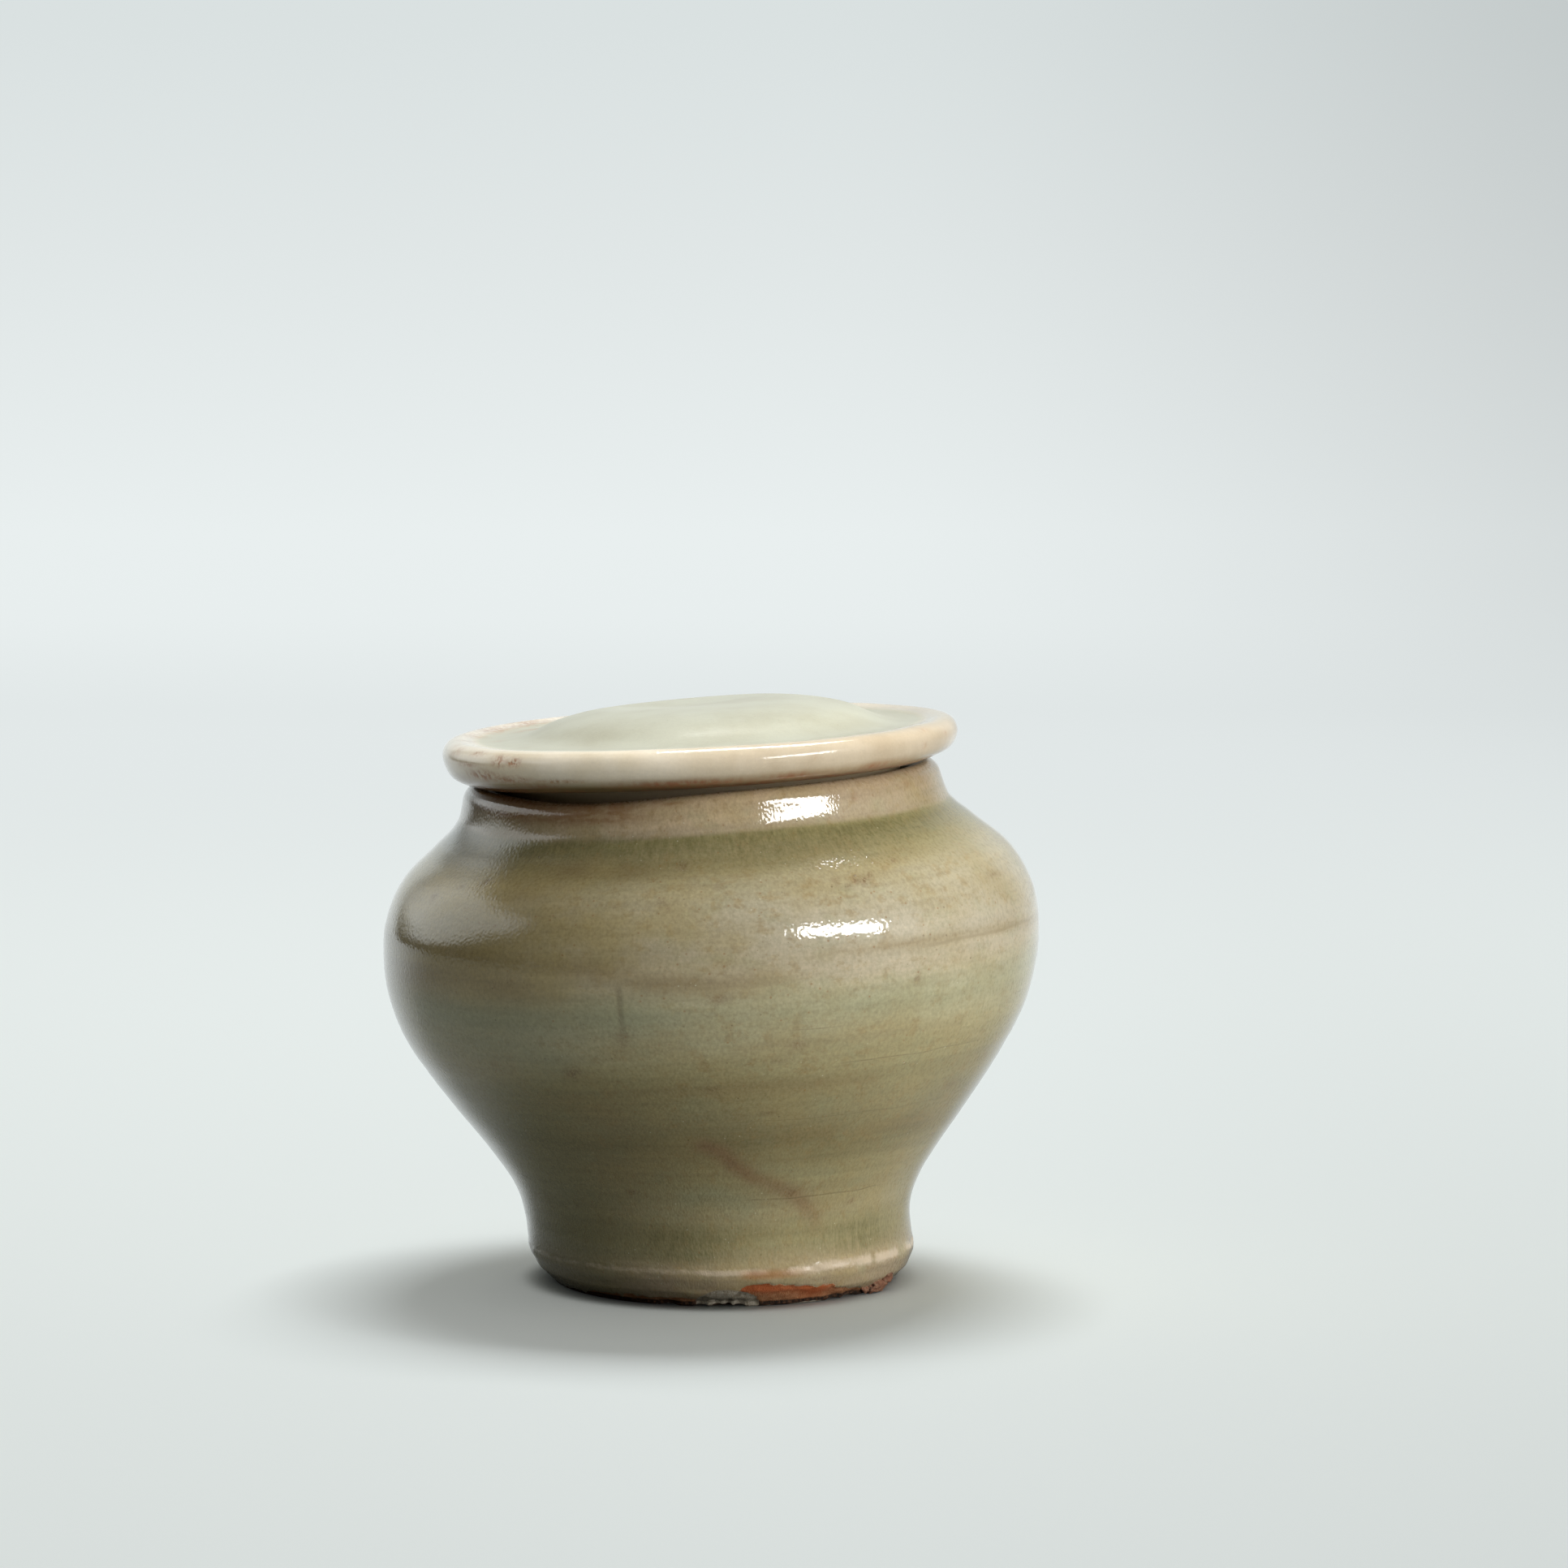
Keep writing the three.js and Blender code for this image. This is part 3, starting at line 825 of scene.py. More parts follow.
# Colours of the jar's glaze by rise, in mm, on a ramp that ends at BANDS_TOP
BANDS_TOP = 80
GLAZE_BANDS = [
    (3.5, (160, 142, 115)), (6.5, (166, 150, 114)), (9, (156, 146, 106)), (13, (167, 155, 117)),
    (18, (163, 151, 109)), (24, (138, 126, 87)), (28, (153, 142, 103)), (33, (158, 147, 105)),
    (37, (172, 161, 119)), (43, (183, 176, 142)), (47, (189, 176, 147)), (51, (186, 175, 149)),
    (56, (181, 171, 143)), (61, (165, 153, 114)), (66.3, (155, 146, 101)),
]
NECK_MAUVE = tint(177, 160, 131)
NECK_TOP_BROWN = tint(158, 130, 96)
# Painted light: the front of the neck under the lid made paler, lifting the lid's shade
NECK_FRONT_PAINTED_LIGHT = tint(206, 182, 146)
INSIDE_GLAZE = tint(172, 166, 132)
CLOUD_OCHRE = tint(166, 148, 101)
PATCH_GREEN = tint(156, 156, 120)
FRECKLE_BROWN = tint(152, 128, 82)
GOLDEN_GLAZE = tint(184, 166, 112)
# Painted shade: dark olive laid on the lower left of the body
PAINTED_SHADE_LOWER_LEFT = tint(108, 110, 72)
LINE_BROWN = tint(104, 88, 58)
CRACK_BROWN = tint(100, 84, 56)
RUST_DARK = tint(112, 80, 52)
STAIN_BROWN = tint(138, 98, 62)
WORN_EDGE = tint(212, 194, 168)
SCORCH_ORANGE = tint(168, 112, 64)
CLAY_PALE = tint(176, 128, 92)
CLAY_DARK = tint(146, 96, 64)
FIRE_RED = tint(172, 94, 56)
CLAY_UNDER_FOOT = tint(150, 118, 88)
# Painted shadow: the dark line where the foot's lowest edge meets the cloth
PAINTED_CONTACT_SHADOW = tint(36, 30, 26)
CHIP_PALE = tint(172, 163, 146)
CHIP_DARK = tint(134, 124, 106)

# Noises of the jar's surface: lumps per mm each way, detail and roughness
JAR_NOISES = {
    "cloud": ((0.11, 0.11, 0.16), 4, 0.55),
    "drift": ((0.035, 0.035, 0.25), 2, 0.5),
    "patch": ((0.2, 0.2, 0.3), 3, 0.6),
    "freckle": ((0.6, 0.6, 0.75), 3, 0.65),
    "streaks": ((1.7, 1.7, 0.45), 3, 0.6),
    "brushed": ((0.05, 0.05, 1.1), 3, 0.6),
    "grain": ((2.1, 2.1, 1.9), 3, 0.6),
    "fine": ((3.4, 3.4, 2.6), 1, 0.5),
    "broken": ((3.2, 3.2, 3.2), 2, 0.6),
    "drips": ((0.4, 0.4, 1.6), 3, 0.6),
    "ragged": ((1.4, 1.4, 2.4), 3, 0.65),
    "mottle": ((1.1, 1.1, 1.6), 4, 0.65),
    "peel": ((0.9, 0.9, 0.7), 1, 0.5),
    "pores": ((2.8, 2.8, 2.6), 0, 0.5),
    "gritty": ((4.0, 4.0, 4.0), 4, 0.7),
}

# Marks laid over the glaze one by one: how strong, the colour and, where a noise breaks the mark up,
# the noise, two of its values and the mark's share at each
LAID_MARKS = {
    "pale": (0.55, tint(204, 197, 178)),
    "grey": (0.75, tint(158, 158, 124)),
    "brown": (0.65, tint(147, 127, 87)),
    "smear": (0.8, tint(140, 110, 78), "cloud", 0.3, 0.6, 0.55, 1.0),
    "pool": (0.8, tint(122, 114, 75), "streaks", 0.28, 0.7, 0.5, 1.2),
}

# Fine lines round the jar: turn where each starts and ends, rise, half width, sway and depth
FINE_LINES = [
    (-84, -36, 14.6, 0.16, 0.8, 0.55),
    (-68, -26, 35.3, 0.13, 0.8, 0.5),
    (-78, -64, 40.3, 0.13, 0.7, 0.45),
    (-97, -90, 44.9, 0.25, 0.8, 0.5),
    (-54, -10, 48.6, 0.3, 0.7, 0.25),
    (-90, -30, 27.4, 0.12, 0.9, 0.3),
    (20, 80, 33.0, 0.15, 0.9, 0.5),
    (-250, -190, 22.0, 0.15, 1.0, 0.5),
    (-240, -150, 44.0, 0.15, 0.8, 0.4),
]
CRACK_TURN = -104.75

# Specks in the glaze: how many per mm, their size as two shares of a cell, the noise that gathers them
# between two of its values, how strong they are and their colour
SPECKS = {
    "dark": (0.55, 0.03, 0.1, "cloud", 0.42, 0.62, 0.55, tint(96, 78, 50)),
    "small": (1.3, 0.05, 0.14, "drift", 0.5, 0.65, 0.55, tint(112, 92, 62)),
    "warm": (0.9, 0.06, 0.16, "patch", 0.42, 0.6, 0.6, tint(150, 108, 62)),
    "pale": (0.75, 0.035, 0.09, "cloud", 0.55, 0.42, 0.75, tint(210, 206, 176)),
}


def banded_glaze(r, turn, rise, noise):
    """The glaze by height, drifting slowly round the jar, with its mauve-brown neck and cloudy patches,
    golden at the left of the shoulder, painted light at the front of the neck under the lid, and painted
    shade that darkens the left below."""
    level = r.math("ADD", rise, r.math("MULTIPLY_ADD", noise["drift"], 5.0, -2.5))
    stops = [(band / BANDS_TOP, tint(*colour)) for band, colour in GLAZE_BANDS]
    colour = r.ramp(r.times(level, 1 / BANDS_TOP), stops)
    colour = r.mix(r.climb(rise, 66.4, 67.3), colour, NECK_MAUVE)
    colour = r.mix(r.climb(rise, 68.0, 70.2, 0.0, 0.35), colour, NECK_TOP_BROWN)
    # Painted light: paler at the front of the neck, where the lid's shade falls
    front = r.times(r.between(rise, (67.4, 68.6), (72.5, 71.0)), r.between(turn, (-140, -112), (-62, -84)))
    colour = r.mix(r.times(front, 0.5), colour, NECK_FRONT_PAINTED_LIGHT)
    colour = r.mix(r.climb(rise, 74.5, 77.0), colour, INSIDE_GLAZE)
    colour = r.mix(r.climb(noise["cloud"], 0.4, 0.66, 0.0, 0.4), colour, CLOUD_OCHRE)
    colour = r.mix(r.climb(noise["patch"], 0.5, 0.74, 0.0, 0.3), colour, PATCH_GREEN)
    colour = r.mix(r.climb(noise["freckle"], 0.5, 0.72, 0.0, 0.45), colour, FRECKLE_BROWN)
    golden = r.times(r.between(turn, (-215, -180), (-72, -126)), r.between(rise, (40.5, 46.0), (66.0, 61.0)))
    golden = r.times(golden, r.climb(noise["cloud"], 0.3, 0.65, 0.3, 0.75))
    colour = r.mix(golden, colour, GOLDEN_GLAZE)
    # Painted shade: the lower left of the body darkened
    deep = r.times(r.climb(turn, -110, -134, 0.0, 0.38), r.climb(turn, -215, -180), r.climb(rise, 38.0, 29.0))
    return r.mix(deep, colour, PAINTED_SHADE_LOWER_LEFT)


def brush_and_pools(r, colour, noise):
    """Pale, grey and brown brush marks, the slanting smear and the glaze pools, from their attributes,
    under the fine light and dark of the glaze."""
    for mark, (strength, paint, *breaks) in LAID_MARKS.items():
        share = r.attribute(mark)
        if breaks:
            share = r.times(share, r.climb(noise[breaks[0]], *breaks[1:]))
        colour = r.mix(r.times(share, strength), colour, paint)
    shade = r.math("MULTIPLY_ADD", noise["brushed"], 0.36, 0.83)
    shade = r.times(shade, r.around_one(noise["grain"], 0.42), r.around_one(noise["fine"], 0.3))
    return r.shaded(colour, shade)


def lines_and_specks(r, colour, turn, rise, place, noise):
    """Fine lines, one upright crack and four kinds of specks. Returns colour, crack and dark specks."""
    for *course, depth in FINE_LINES:
        line = r.fine_line(turn, rise, place, *course)
        line = r.times(line, r.climb(noise["grain"], 0.35, 0.6, 0.3 * depth, depth))
        colour = r.mix(line, colour, LINE_BROWN)
    sway = r.math("MULTIPLY_ADD", noise["brushed"], 0.5, -CRACK_TURN)
    crack = r.climb(r.math("ABSOLUTE", r.math("ADD", turn, sway)), 0.95, 0.1)
    crack = r.times(crack, r.between(rise, (39.0, 43.5), (47.2, 46.2)))
    crack = r.times(crack, r.climb(noise["grain"], 0.3, 0.6, 0.4, 1.0))
    colour = r.mix(r.times(crack, 0.42), colour, CRACK_BROWN)
    strewn = {}
    for kind, (per_mm, low, high, gather, start, end, strength, speck_colour) in SPECKS.items():
        strewn[kind] = r.times(r.specks(place, per_mm, low, high), r.climb(noise[gather], start, end))
        colour = r.mix(r.times(strewn[kind], strength), colour, speck_colour)
    return colour, crack, strewn["dark"]


def stains_and_wear(r, colour, turn, rise, noise):
    """Rust spots, the stain under the lip, the pale worn edge above the bevel and the scorch beside it.
    Returns colour, rust and worn."""
    rust = r.times(r.attribute("rust"), r.climb(noise["broken"], 0.38, 0.6, 0.35, 1.0))
    colour = r.mix(rust, colour, RUST_DARK)
    stain = r.times(r.attribute("stain"), r.climb(noise["drips"], 0.3, 0.62, 0.4, 1.0))
    colour = r.mix(r.times(stain, 0.75), colour, STAIN_BROWN)
    ragged = r.math("MULTIPLY_ADD", noise["ragged"], 0.9, -0.45)
    worn = r.climb(r.math("ADD", r.attribute("worn"), ragged), 0.12, 0.95)
    colour = r.mix(r.times(worn, 0.75), colour, WORN_EDGE)
    scorch = r.times(r.between(rise, (4.2, 4.9), (6.0, 5.2)), r.between(turn, (-86, -80), (-60, -74)))
    return r.mix(r.times(scorch, 0.6), colour, SCORCH_ORANGE), rust, worn


def bare_clay(r, colour, rise, noise):
    """Unglazed clay at the foot with its fire flash and a painted contact shadow along its lowest edge, and
    the chip. Returns colour, clay and chip."""
    ragged = r.math("MULTIPLY_ADD", noise["ragged"], 0.8, -0.4)
    clay = r.climb(r.math("ADD", r.attribute("clay"), ragged), 0.38, 0.6)
    clay_colour = r.mix(r.climb(noise["mottle"], 0.3, 0.7), CLAY_PALE, CLAY_DARK)
    clay_colour = r.mix(r.attribute("fire"), clay_colour, FIRE_RED)
    clay_colour = r.mix(r.climb(rise, 0.0, -1.5), clay_colour, CLAY_UNDER_FOOT)
    # Painted contact shadow along the foot's lowest edge, broken up by a noise
    painted_foot_shadow = r.times(r.between(rise, (-1.0, -0.2), (0.85, 0.45)), r.climb(noise["ragged"], 0.3, 0.6, 0.7, 1.0))
    clay_colour = r.mix(painted_foot_shadow, clay_colour, PAINTED_CONTACT_SHADOW)
    colour = r.mix(clay, colour, clay_colour)
    ragged = r.math("MULTIPLY_ADD", noise["ragged"], 0.6, -0.3)
    chip = r.climb(r.math("ADD", r.attribute("chip"), ragged), 0.4, 0.62)
    chip_colour = r.mix(r.climb(noise["mottle"], 0.35, 0.7), CHIP_PALE, CHIP_DARK)
    return r.mix(chip, colour, chip_colour), clay, chip


def jar_glaze():
    """Celadon glaze over stoneware: bands by rise, cloudy and brushed, greener where it is thick and
    mauve-brown where it is thin, with specks, stains, and bare clay at the foot."""
    r = Recipe("jar_glaze")
    turn, rise, place = r.wrapped(SHOULDER_RADIUS)
    noise = r.noises(place, JAR_NOISES)
    colour = banded_glaze(r, turn, rise, noise)
    colour = brush_and_pools(r, colour, noise)
    colour, crack, dark_specks = lines_and_specks(r, colour, turn, rise, place, noise)
    colour, rust, worn = stains_and_wear(r, colour, turn, rise, noise)
    colour, clay, chip = bare_clay(r, colour, rise, noise)

    matt = r.math("MAXIMUM", clay, r.times(chip, 0.8))
    matt = r.math("MAXIMUM", matt, r.times(worn, 0.35))
    shine = r.times(r.math("SUBTRACT", 1.0, matt), r.climb(rise, 73.0, 71.0, 0.1, 1.0))
    roughness = r.math("MULTIPLY_ADD", noise["grain"], 0.12, 0.22)
    roughness = r.math("MAXIMUM", roughness, r.times(matt, 0.85))

    relief = r.math("ADD", r.times(noise["peel"], 0.005), r.times(noise["pores"], 0.02))
    relief = r.times(relief, r.climb(turn, -48, -20, 1.0, 0.35))
    for sunken, depth in [(rust, 0.02), (dark_specks, 0.015), (crack, 0.03)]:
        relief = r.math("SUBTRACT", relief, r.times(sunken, depth))
    relief = r.math("ADD", relief, r.times(noise["gritty"], 0.12, matt))
    return r.glazed(colour, roughness, relief, shine, coat_roughness=0.07, coat_ior=1.6, sheen=0.1)


DOME_GREEN = tint(190, 190, 171), tint(180, 178, 157)
RIM_CREAM = tint(244, 233, 211), tint(231, 217, 189)
RIM_PEACH = tint(208, 192, 166), tint(194, 176, 148)
RIM_THIN = tint(224, 210, 178)
# Painted shade under the rolled rim
RIM_UNDERSIDE_SHADE = tint(128, 114, 72)
SEAT_CLAY = tint(190, 172, 140)
LID_STAIN = tint(160, 100, 68)
LID_RUST = tint(172, 118, 74)
LID_SPECK = tint(140, 104, 70)
LID_NOISES = {
    "cloud": ((0.12, 0.12, 0.12), 4, 0.55),
    "grain": ((2.2, 2.2, 2.2), 3, 0.65),
    "fine": ((6.0, 6.0, 6.0), 2, 0.5),
    "broken": ((1.6, 1.6, 1.6), 3, 0.65),
    "peel": ((0.8, 0.8, 0.8), 1, 0.5),
    "pores": ((2.8, 2.8, 2.8), 0, 0.5),
}


def lid_glaze():
    """Pale celadon on the dome and moat, thin and cream on the rolled rim, with rust spots and painted shade
    under the rim.
    """
    r = Recipe("lid_glaze")
    turn, rise, place = r.wrapped(LID_RADIUS)
    solid_place = r.place_in_mm()
    noise = r.noises(solid_place, LID_NOISES)
    cloud = noise["cloud"]
    colour = r.mix(r.climb(cloud, 0.35, 0.7), *DOME_GREEN)
    cream = r.mix(r.climb(cloud, 0.4, 0.7), *RIM_CREAM)
    peach = r.mix(r.climb(cloud, 0.4, 0.7), *RIM_PEACH)
    from_front_right = r.math("ABSOLUTE", r.math("ADD", turn, 20.0))
    cream = r.mix(r.climb(from_front_right, 95.0, 45.0), cream, peach)
    colour = r.mix(r.attribute("bead"), colour, cream)
    colour = r.mix(r.times(r.attribute("thin"), 0.35), colour, RIM_THIN)
    # Painted shade: the underside of the rolled rim darkened, most at the left
    painted_rim_shade = r.times(r.climb(rise, 4.2, 1.6), r.climb(turn, -100, -50, 0.95, 0.55))
    colour = r.mix(painted_rim_shade, colour, RIM_UNDERSIDE_SHADE)
    colour = r.mix(r.climb(rise, -0.5, -2.0), colour, SEAT_CLAY)
    colour = r.shaded(colour, r.times(r.around_one(noise["grain"], 0.16), r.around_one(noise["fine"], 0.1)))
    streaks = r.noise(place, (1.2, 1.2, 0.7), 3, 0.6)
    stain = r.times(r.attribute("stain"), r.climb(streaks, 0.3, 0.65, 0.4, 1.0))
    colour = r.mix(r.times(stain, 0.85), colour, LID_STAIN)
    rust = r.times(r.attribute("rust"), r.climb(noise["broken"], 0.36, 0.62, 0.15, 1.0))
    colour = r.mix(r.times(rust, 0.85), colour, LID_RUST)
    specks = r.times(r.specks(solid_place, 0.6, 0.03, 0.1), r.climb(cloud, 0.45, 0.6))
    colour = r.mix(r.times(specks, 0.4), colour, LID_SPECK)
    relief = r.math("ADD", r.times(noise["peel"], 0.002), r.times(noise["pores"], 0.013))
    relief = r.math("SUBTRACT", relief, r.times(rust, 0.02))
    roughness = r.math("MULTIPLY_ADD", noise["grain"], 0.12, 0.24)
    coat = r.climb(r.attribute("bead"), 0.1, 0.9, 0.09, 1.0)
    return r.glazed(colour, roughness, relief, coat, coat_roughness=0.08, coat_ior=1.5, sheen=0.05)


# Colours of the crust, by the share of a noise
CRUST_TONES = [(0.3, tint(70, 54, 42)), (0.5, tint(128, 84, 60)), (0.7, tint(140, 122, 98))]
CRUST_ROWS = 28
CRUST_TURNS = 40
CRUST_LUMPS = [  # turn, height, radius, half sizes along the foot, outward and up, and the first seed
    (-30, 1.0, 21.6, (2.2, 0.7, 0.9), 60),
    (-26.5, 1.7, 22.1, (1.6, 0.6, 0.8), 65),
    (-34.5, 0.6, 21.2, (1.4, 0.5, 0.5), 70),
]


def kiln_crust():
    """Grit and melted ash: dark rust brown, rough."""
    r = Recipe("kiln_crust")
    place = r.place_in_mm()
    colour = r.ramp(r.noise(place, (1.4, 1.4, 1.4), 4, 0.7), CRUST_TONES)
    bump = r.bump(r.times(r.noise(place, (3.5, 3.5, 3.5), 4, 0.7), 0.25))
    return r.clay_body({"Base Color": colour, "Roughness": 0.75, "Normal": bump})


def crust_lump(name, at, height, radius, size, seed, material):
    """A rough closed lump: a sphere stretched to its size along the foot's edge, with each point moved
    out or in by three layers of lattice noise."""
    tall = np.linspace(-88, 88, CRUST_ROWS)
    spins, talls = grid_round(tall, CRUST_TURNS)
    push = 1 + 0.28 * lumps(seed, spins, talls, 5, 40) + 0.16 * lumps(seed + 1, spins, talls, 11, 18)
    push += 0.08 * lumps(seed + 2, spins, talls, 20, 9)
    along = push * np.cos(np.radians(talls)) * np.cos(np.radians(spins)) * size[0]
    out = push * np.cos(np.radians(talls)) * np.sin(np.radians(spins)) * size[1]
    up = push * np.sin(np.radians(talls)) * size[2]
    angle = radians(at)
    x = (radius + out) * cos(angle) - along * sin(angle)
    y = (radius + out) * sin(angle) + along * cos(angle)
    x, z = slump(x, np.maximum(up + height, 0.0))
    x -= widest_middle(jar_outline()[0])
    return turned_piece(name, x[::-1], y[::-1], z[::-1], np.zeros(CRUST_ROWS), material, {})


# The sweep, in metres: how far it reaches, and where it starts to curve up and how wide the curve is
SWEEP_REACH = 3.5
SWEEP_NEAR = 0.6
BEND_START = 1.1
BEND_RADIUS = 0.9
BLACK = tint(0, 0, 0)
CLOTH = tint(208, 215, 215)
CLOTH_GLOW = tint(150, 153, 150)  # the part of its light that casts no shadow
DIM_CLOTH = tint(138, 142, 142)  # both, as the jar and lid get them back
DIM_CLOTH_GLOW = tint(97, 99, 95)
SHADOW_REACH = 0.03
CONTACT_REACH = 0.004
BACKDROP_HEIGHT = 3.2
BACKDROP_TONES = [
    (0.1, tint(228, 234, 234)), (0.26, tint(226, 232, 232)), (0.36, tint(232, 238, 238)),
    (0.41, tint(233, 239, 239)), (0.475, tint(228, 234, 234)), (0.52, tint(224, 230, 230)),
    (0.585, tint(218, 225, 225)),
]


def sweep():
    """A pale floor that curves up into a wall behind: an outline carried sideways."""
    bend = np.radians(np.linspace(0, 90, 25))
    floor, wall = [-SWEEP_REACH, -SWEEP_NEAR, 0], [BEND_START + BEND_RADIUS]
    y = np.concatenate([floor, BEND_START + BEND_RADIUS * np.sin(bend), wall])
    z = np.concatenate([[0, 0, 0], BEND_RADIUS * (1 - np.cos(bend)), [SWEEP_REACH]])
    x = np.broadcast_to([-SWEEP_REACH, SWEEP_REACH], (len(y), 2))
    grid = np.stack([x, np.stack([y, y], -1), np.stack([z, z], -1)], -1)
    row = np.arange(len(y) - 1) * 2
    faces = np.stack([row, row + 1, row + 3, row + 2], -1)
    mesh = bpy.data.meshes.new("sweep")
    mesh.from_pydata(grid.reshape(-1, 3).tolist(), [], faces.tolist())
    mesh.polygons.foreach_set("use_smooth", np.ones(len(faces), bool))
    stage = bpy.data.objects.new("sweep", mesh)
    bpy.context.scene.collection.objects.link(stage)
    mesh.materials.append(sweep_paper())


def near_cloth(r, right, seen):
    """The cloth: a dull white, and a glow that casts no shadow and fades where the jar stands over it."""
    dimmed = r.climb(right, 0.0, 0.12, 0.0, 0.07)
    lit = r.mix(dimmed, r.mix(seen, DIM_CLOTH, CLOTH), BLACK)
    soft = r.mix(dimmed, r.mix(seen, DIM_CLOTH_GLOW, CLOTH_GLOW), BLACK)
    open_air = r.openness(SHADOW_REACH)
    least = r.climb(right, 0.0, 0.02, 0.1, 0.6)
    contact = r.climb(r.openness(CONTACT_REACH), 0.3, 0.85, least, 1.0)
    level = r.times(r.climb(open_air, 0.0, 1.0, 0.58, 1.02), r.climb(open_air, 0.0, 0.45, 0.25, 1.0), contact)
    cloth = r.node("BsdfDiffuse", {"Color": lit}).outputs[0]
    glow = r.node("Emission", {"Color": soft, "Strength": level}).outputs[0]
    return r.node("AddShader", {0: cloth, 1: glow}).outputs[0]


def far_glow(r, right, back, up):
    """The even pale light of the backdrop, by how far back and up it is, a little darker at the right."""
    level = r.times(r.math("ADD", back, up), 1 / BACKDROP_HEIGHT)
    rightward = r.times(r.climb(right, 0.0, 0.42, 0.0, 0.24), r.climb(level, 0.0, 0.4))
    tone = r.mix(rightward, r.ramp(level, BACKDROP_TONES), BLACK)
    return r.node("Emission", {"Color": tone}).outputs[0]


def sweep_paper():
    """Cloth near the jar, and the backdrop's light far off and where the glaze mirrors what is behind
    it. The glaze does not mirror the sweep's sides."""
    r = Recipe("sweep_paper")
    place = r.node("TexCoord").outputs["Object"]
    right, back, up = r.node("SeparateXYZ", {0: place}).outputs
    rays = r.node("LightPath").outputs
    seen, glossy = rays["Is Camera Ray"], rays["Is Glossy Ray"]
    cloth = near_cloth(r, right, seen)
    glow = far_glow(r, right, back, up)
    away = r.node("VectorMath", {0: place}, operation="LENGTH").outputs["Value"]
    aslant = r.math("ADD", r.climb(right, 0.0, 0.03, 0.0, 0.34), r.climb(right, 0.0, -0.05, 0.0, 0.18))
    behind = r.math("SUBTRACT", r.math("DIVIDE", back, away), aslant)
    mirrored = r.times(glossy, r.climb(behind, 0.1, 0.6), r.climb(away, 0.05, 0.35, 0.65, 1.0))
    far = r.math("MAXIMUM", r.times(seen, r.climb(back, 0.15, 0.75)), mirrored)
    mixed = r.node("MixShader", {0: far, 1: cloth, 2: glow}).outputs[0]
    aside = r.math("MAXIMUM", r.climb(right, -0.8, -1.2), r.climb(right, 0.9, 2.4))
    clear = r.node("BsdfTransparent").outputs[0]
    mixed = r.node("MixShader", {0: r.times(aside, glossy), 1: mixed, 2: clear}).outputs[0]
    return r.finish(mixed)


# The room round the sweep. Angles are degrees round from the right, or up from the level.
ROOM_TINT = tint(232, 237, 237)
ROOM_BRIGHTNESS = 0.03
SEEN_BRIGHTNESS = 0.85
WINDOW_BRIGHTNESS = 1.5
WINDOW_SIDES = [(125, 90, 17), (193, -90, 8)]  # back and front side: angle, way inward and soft edge
WINDOW_SILL = (1, 9)
WINDOW_TOP = (44, 33)
PINCH_START = 45  # degrees inside the front side, where the window gets lower
PINCH_LOW = -0.28
PINCH_HIGH = 0.08


def room_light():
    """The world: pale where the camera looks past the sweep, dim as a light, and with a tall pale
    window with soft edges at the left that only the glaze mirrors."""
    world = bpy.data.worlds.new("room")
    bpy.context.scene.world = world
    world.use_nodes = True
    r = Recipe("room_nodes", world)
    way = r.node("TexCoord").outputs["Generated"]
    height = r.node("SeparateXYZ", {0: way}).outputs[2]
    flat = r.math("SQRT", r.math("SUBTRACT", 1.0, r.times(height, height)))
    window = 1.0
    for side, inward, blur in WINDOW_SIDES:
        across = radians(side + inward)
        sideways = {0: way, 1: (cos(across), sin(across), 0)}
        past = r.node("VectorMath", sideways, operation="DOT_PRODUCT").outputs["Value"]
        past = r.math("DIVIDE", past, flat)
        window = r.times(window, r.climb(past, -sin(radians(blur)), sin(radians(blur))))
    pinch = r.climb(past, sin(radians(PINCH_START)), 0.0)
    for (edge, whole), lift in [(WINDOW_SILL, PINCH_LOW), (WINDOW_TOP, PINCH_HIGH)]:
        level = r.math("MULTIPLY_ADD", pinch, lift, height)
        window = r.times(window, r.climb(level, sin(radians(edge)), sin(radians(whole))))
    rays = r.node("LightPath").outputs
    mirrored = r.math("MULTIPLY_ADD", window, WINDOW_BRIGHTNESS, ROOM_BRIGHTNESS)
    level = r.climb(rays["Is Glossy Ray"], 0.0, 1.0, ROOM_BRIGHTNESS, mirrored)
    level = r.climb(rays["Is Camera Ray"], 0.0, 1.0, level, SEEN_BRIGHTNESS)
    r.finish(r.node("Background", {0: ROOM_TINT, 1: level}).outputs[0], "OutputWorld")


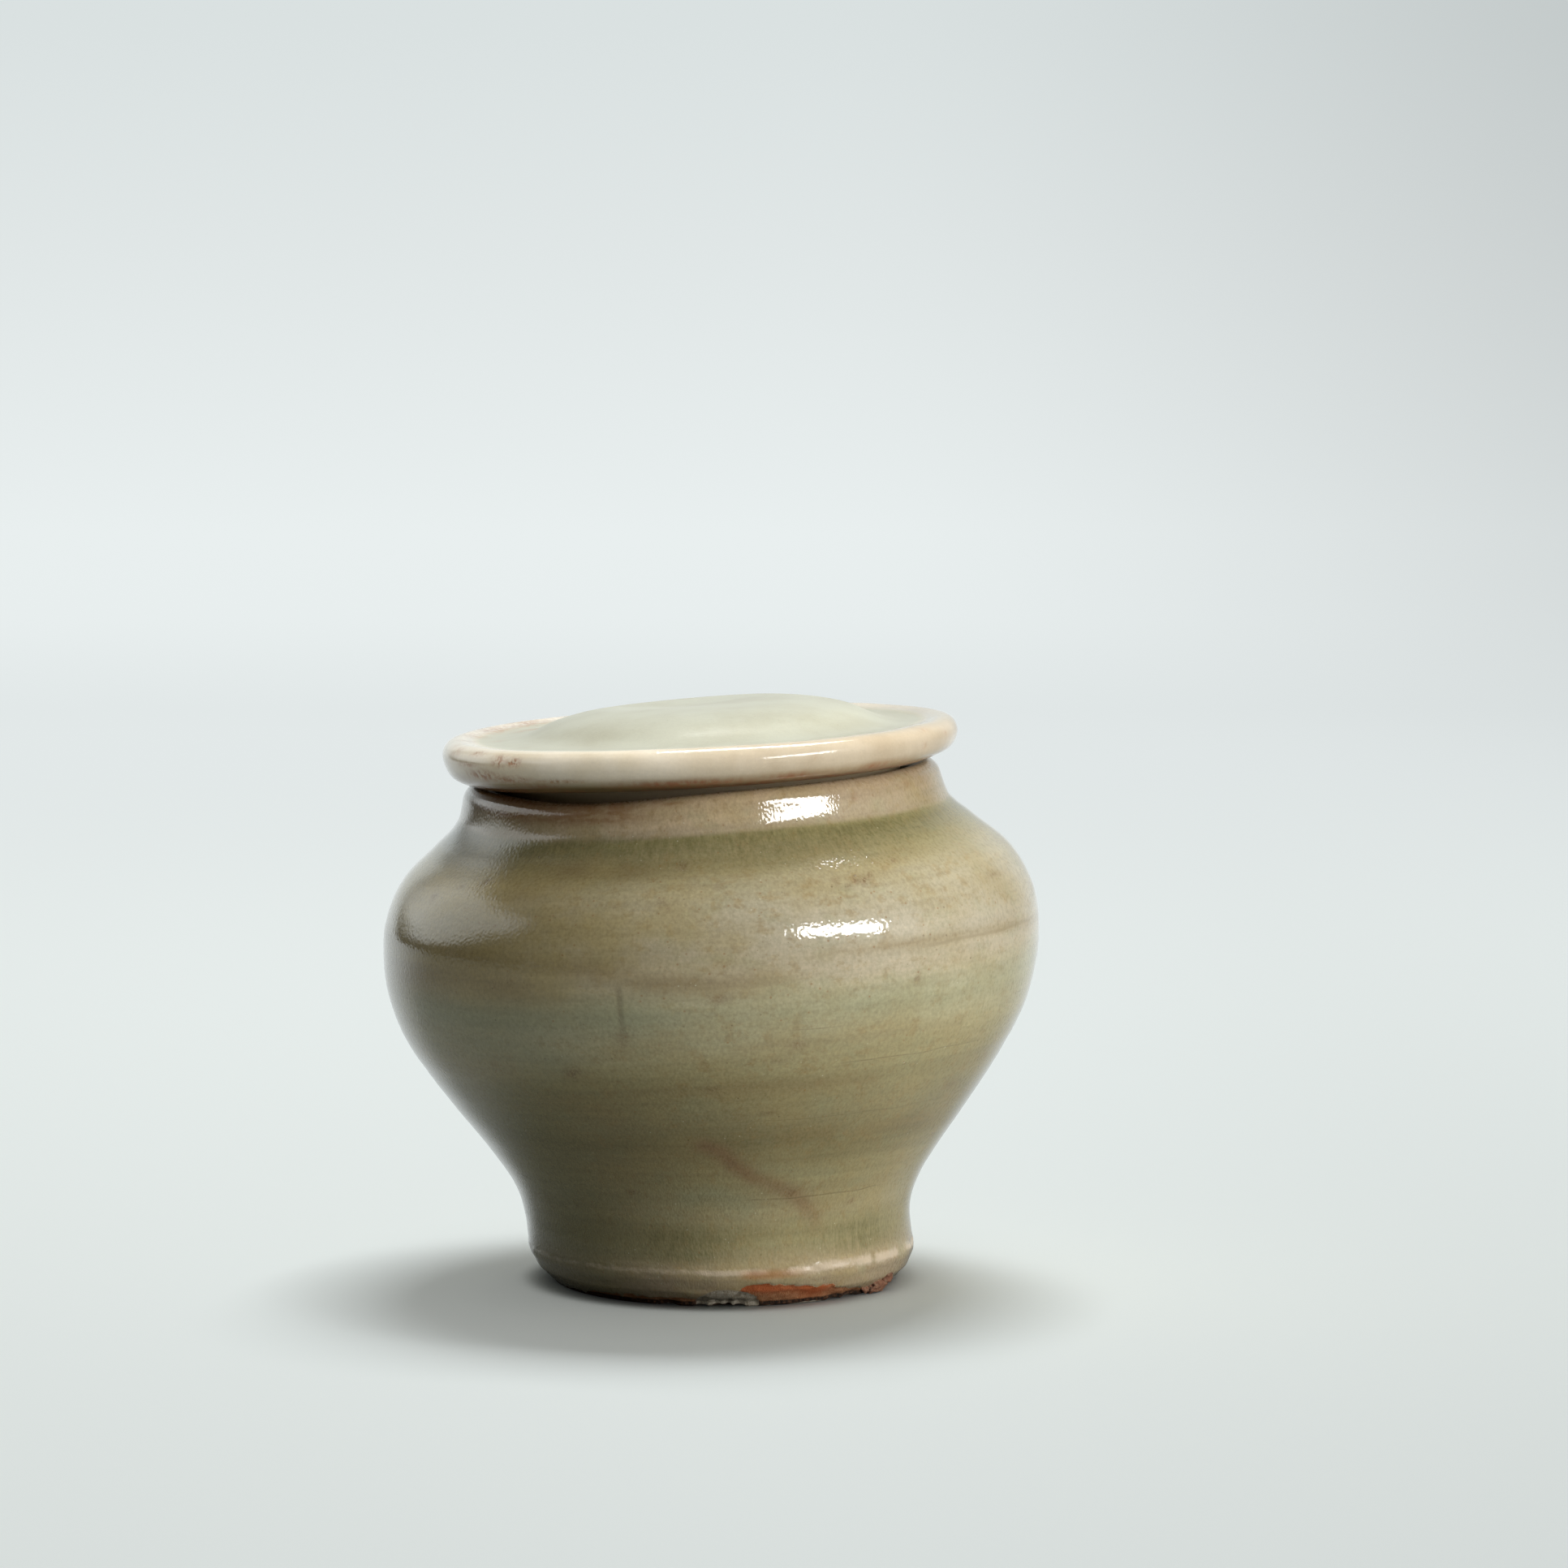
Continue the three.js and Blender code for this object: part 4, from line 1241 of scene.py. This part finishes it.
# Lamps: direction, distance, width and height in metres, brightness, whether it is only mirrored or
# only shades, the pieces it falls on, and its roll in degrees
AIM_HEIGHT = 0.045
RIGHT_BOX = (0.675, -0.616, 0.407)
LAMPS = {
    "right_softbox": (RIGHT_BOX, 1.6, 0.9, 0.32, 15.5, "mirrored", "jar_alone", -14),
    "right_softbox_dimmed": (RIGHT_BOX, 1.6, 0.9, 0.32, 13, "mirrored", "lid_alone", -8),
    "overhead_strip": ((0.1, 0.42, 0.9), 1.2, 0.6, 0.29, 12, "mirrored", "fired_pieces", 0),
    "overhead_light": ((0.1, 0.34, 0.93), 1.2, 0.6, 0.4, 14.5, "shades", "everything", 0),
    "right_wall": ((0.903, -0.365, 0.225), 1.6, 1.2, 1.0, 7.5, "shades", "fired_pieces", 0),
    "right_front": ((0.6, -0.72, 0.34), 1.6, 1.2, 1.0, 1.1, "shades", "fired_pieces", 0),
    "lid_front": ((-0.35, -0.5, 0.79), 1.6, 1.2, 1.0, 2.2, "shades", "lid_alone", 0),
    "front_top": ((-0.04, -0.47, 0.88), 1.6, 1.2, 1.0, 1.25, "shades", "fired_pieces", 0),
}


def gathered(name, pieces):
    """A collection of pieces for a lamp to fall on."""
    group = bpy.data.collections.new(name)
    for piece in pieces:
        group.objects.link(piece)
    return group


def soft_light(name, direction, distance, width, height, brightness, role, receivers, roll):
    """An even panel of light that faces the jar."""
    lamp = bpy.data.lights.new(name, "AREA")
    lamp.shape = "RECTANGLE"
    lamp.size, lamp.size_y = width, height
    lamp.energy = brightness * pi * width * height
    holder = bpy.data.objects.new(name, lamp)
    way = Vector(direction).normalized()
    facing = way.to_track_quat("Z", "Y") @ Quaternion((0, 0, 1), radians(roll))
    holder.location = Vector((0, 0, AIM_HEIGHT)) + way * distance
    holder.rotation_euler = facing.to_euler()
    holder.visible_camera = False
    holder.visible_diffuse = role == "shades"
    holder.visible_glossy = role == "mirrored"
    if receivers:
        holder.light_linking.receiver_collection = receivers
    bpy.context.scene.collection.objects.link(holder)


place_camera()
bpy.context.scene.view_settings.view_transform = "Standard"

jar = make_jar(jar_glaze())
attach(jar, "jar")
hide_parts("jar_body")

lid = make_lid(lid_glaze())
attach(lid, "lid")
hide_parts("lid")

crust = kiln_crust()
jar_and_crust = [jar]
for number, lump_sizes in enumerate(CRUST_LUMPS, 1):
    lump = crust_lump(f"kiln_crust_{number}", *lump_sizes, crust)
    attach(lump, "jar")
    jar_and_crust.append(lump)

sweep()
room_light()
receivers = {
    "everything": None,
    "fired_pieces": gathered("fired_pieces", [*jar_and_crust, lid]),
    "lid_alone": gathered("lid_alone", [lid]),
    "jar_alone": gathered("jar_alone", jar_and_crust),
}
for name, (*panel, role, falls_on, roll) in LAMPS.items():
    soft_light(name, *panel, role, receivers[falls_on], roll)
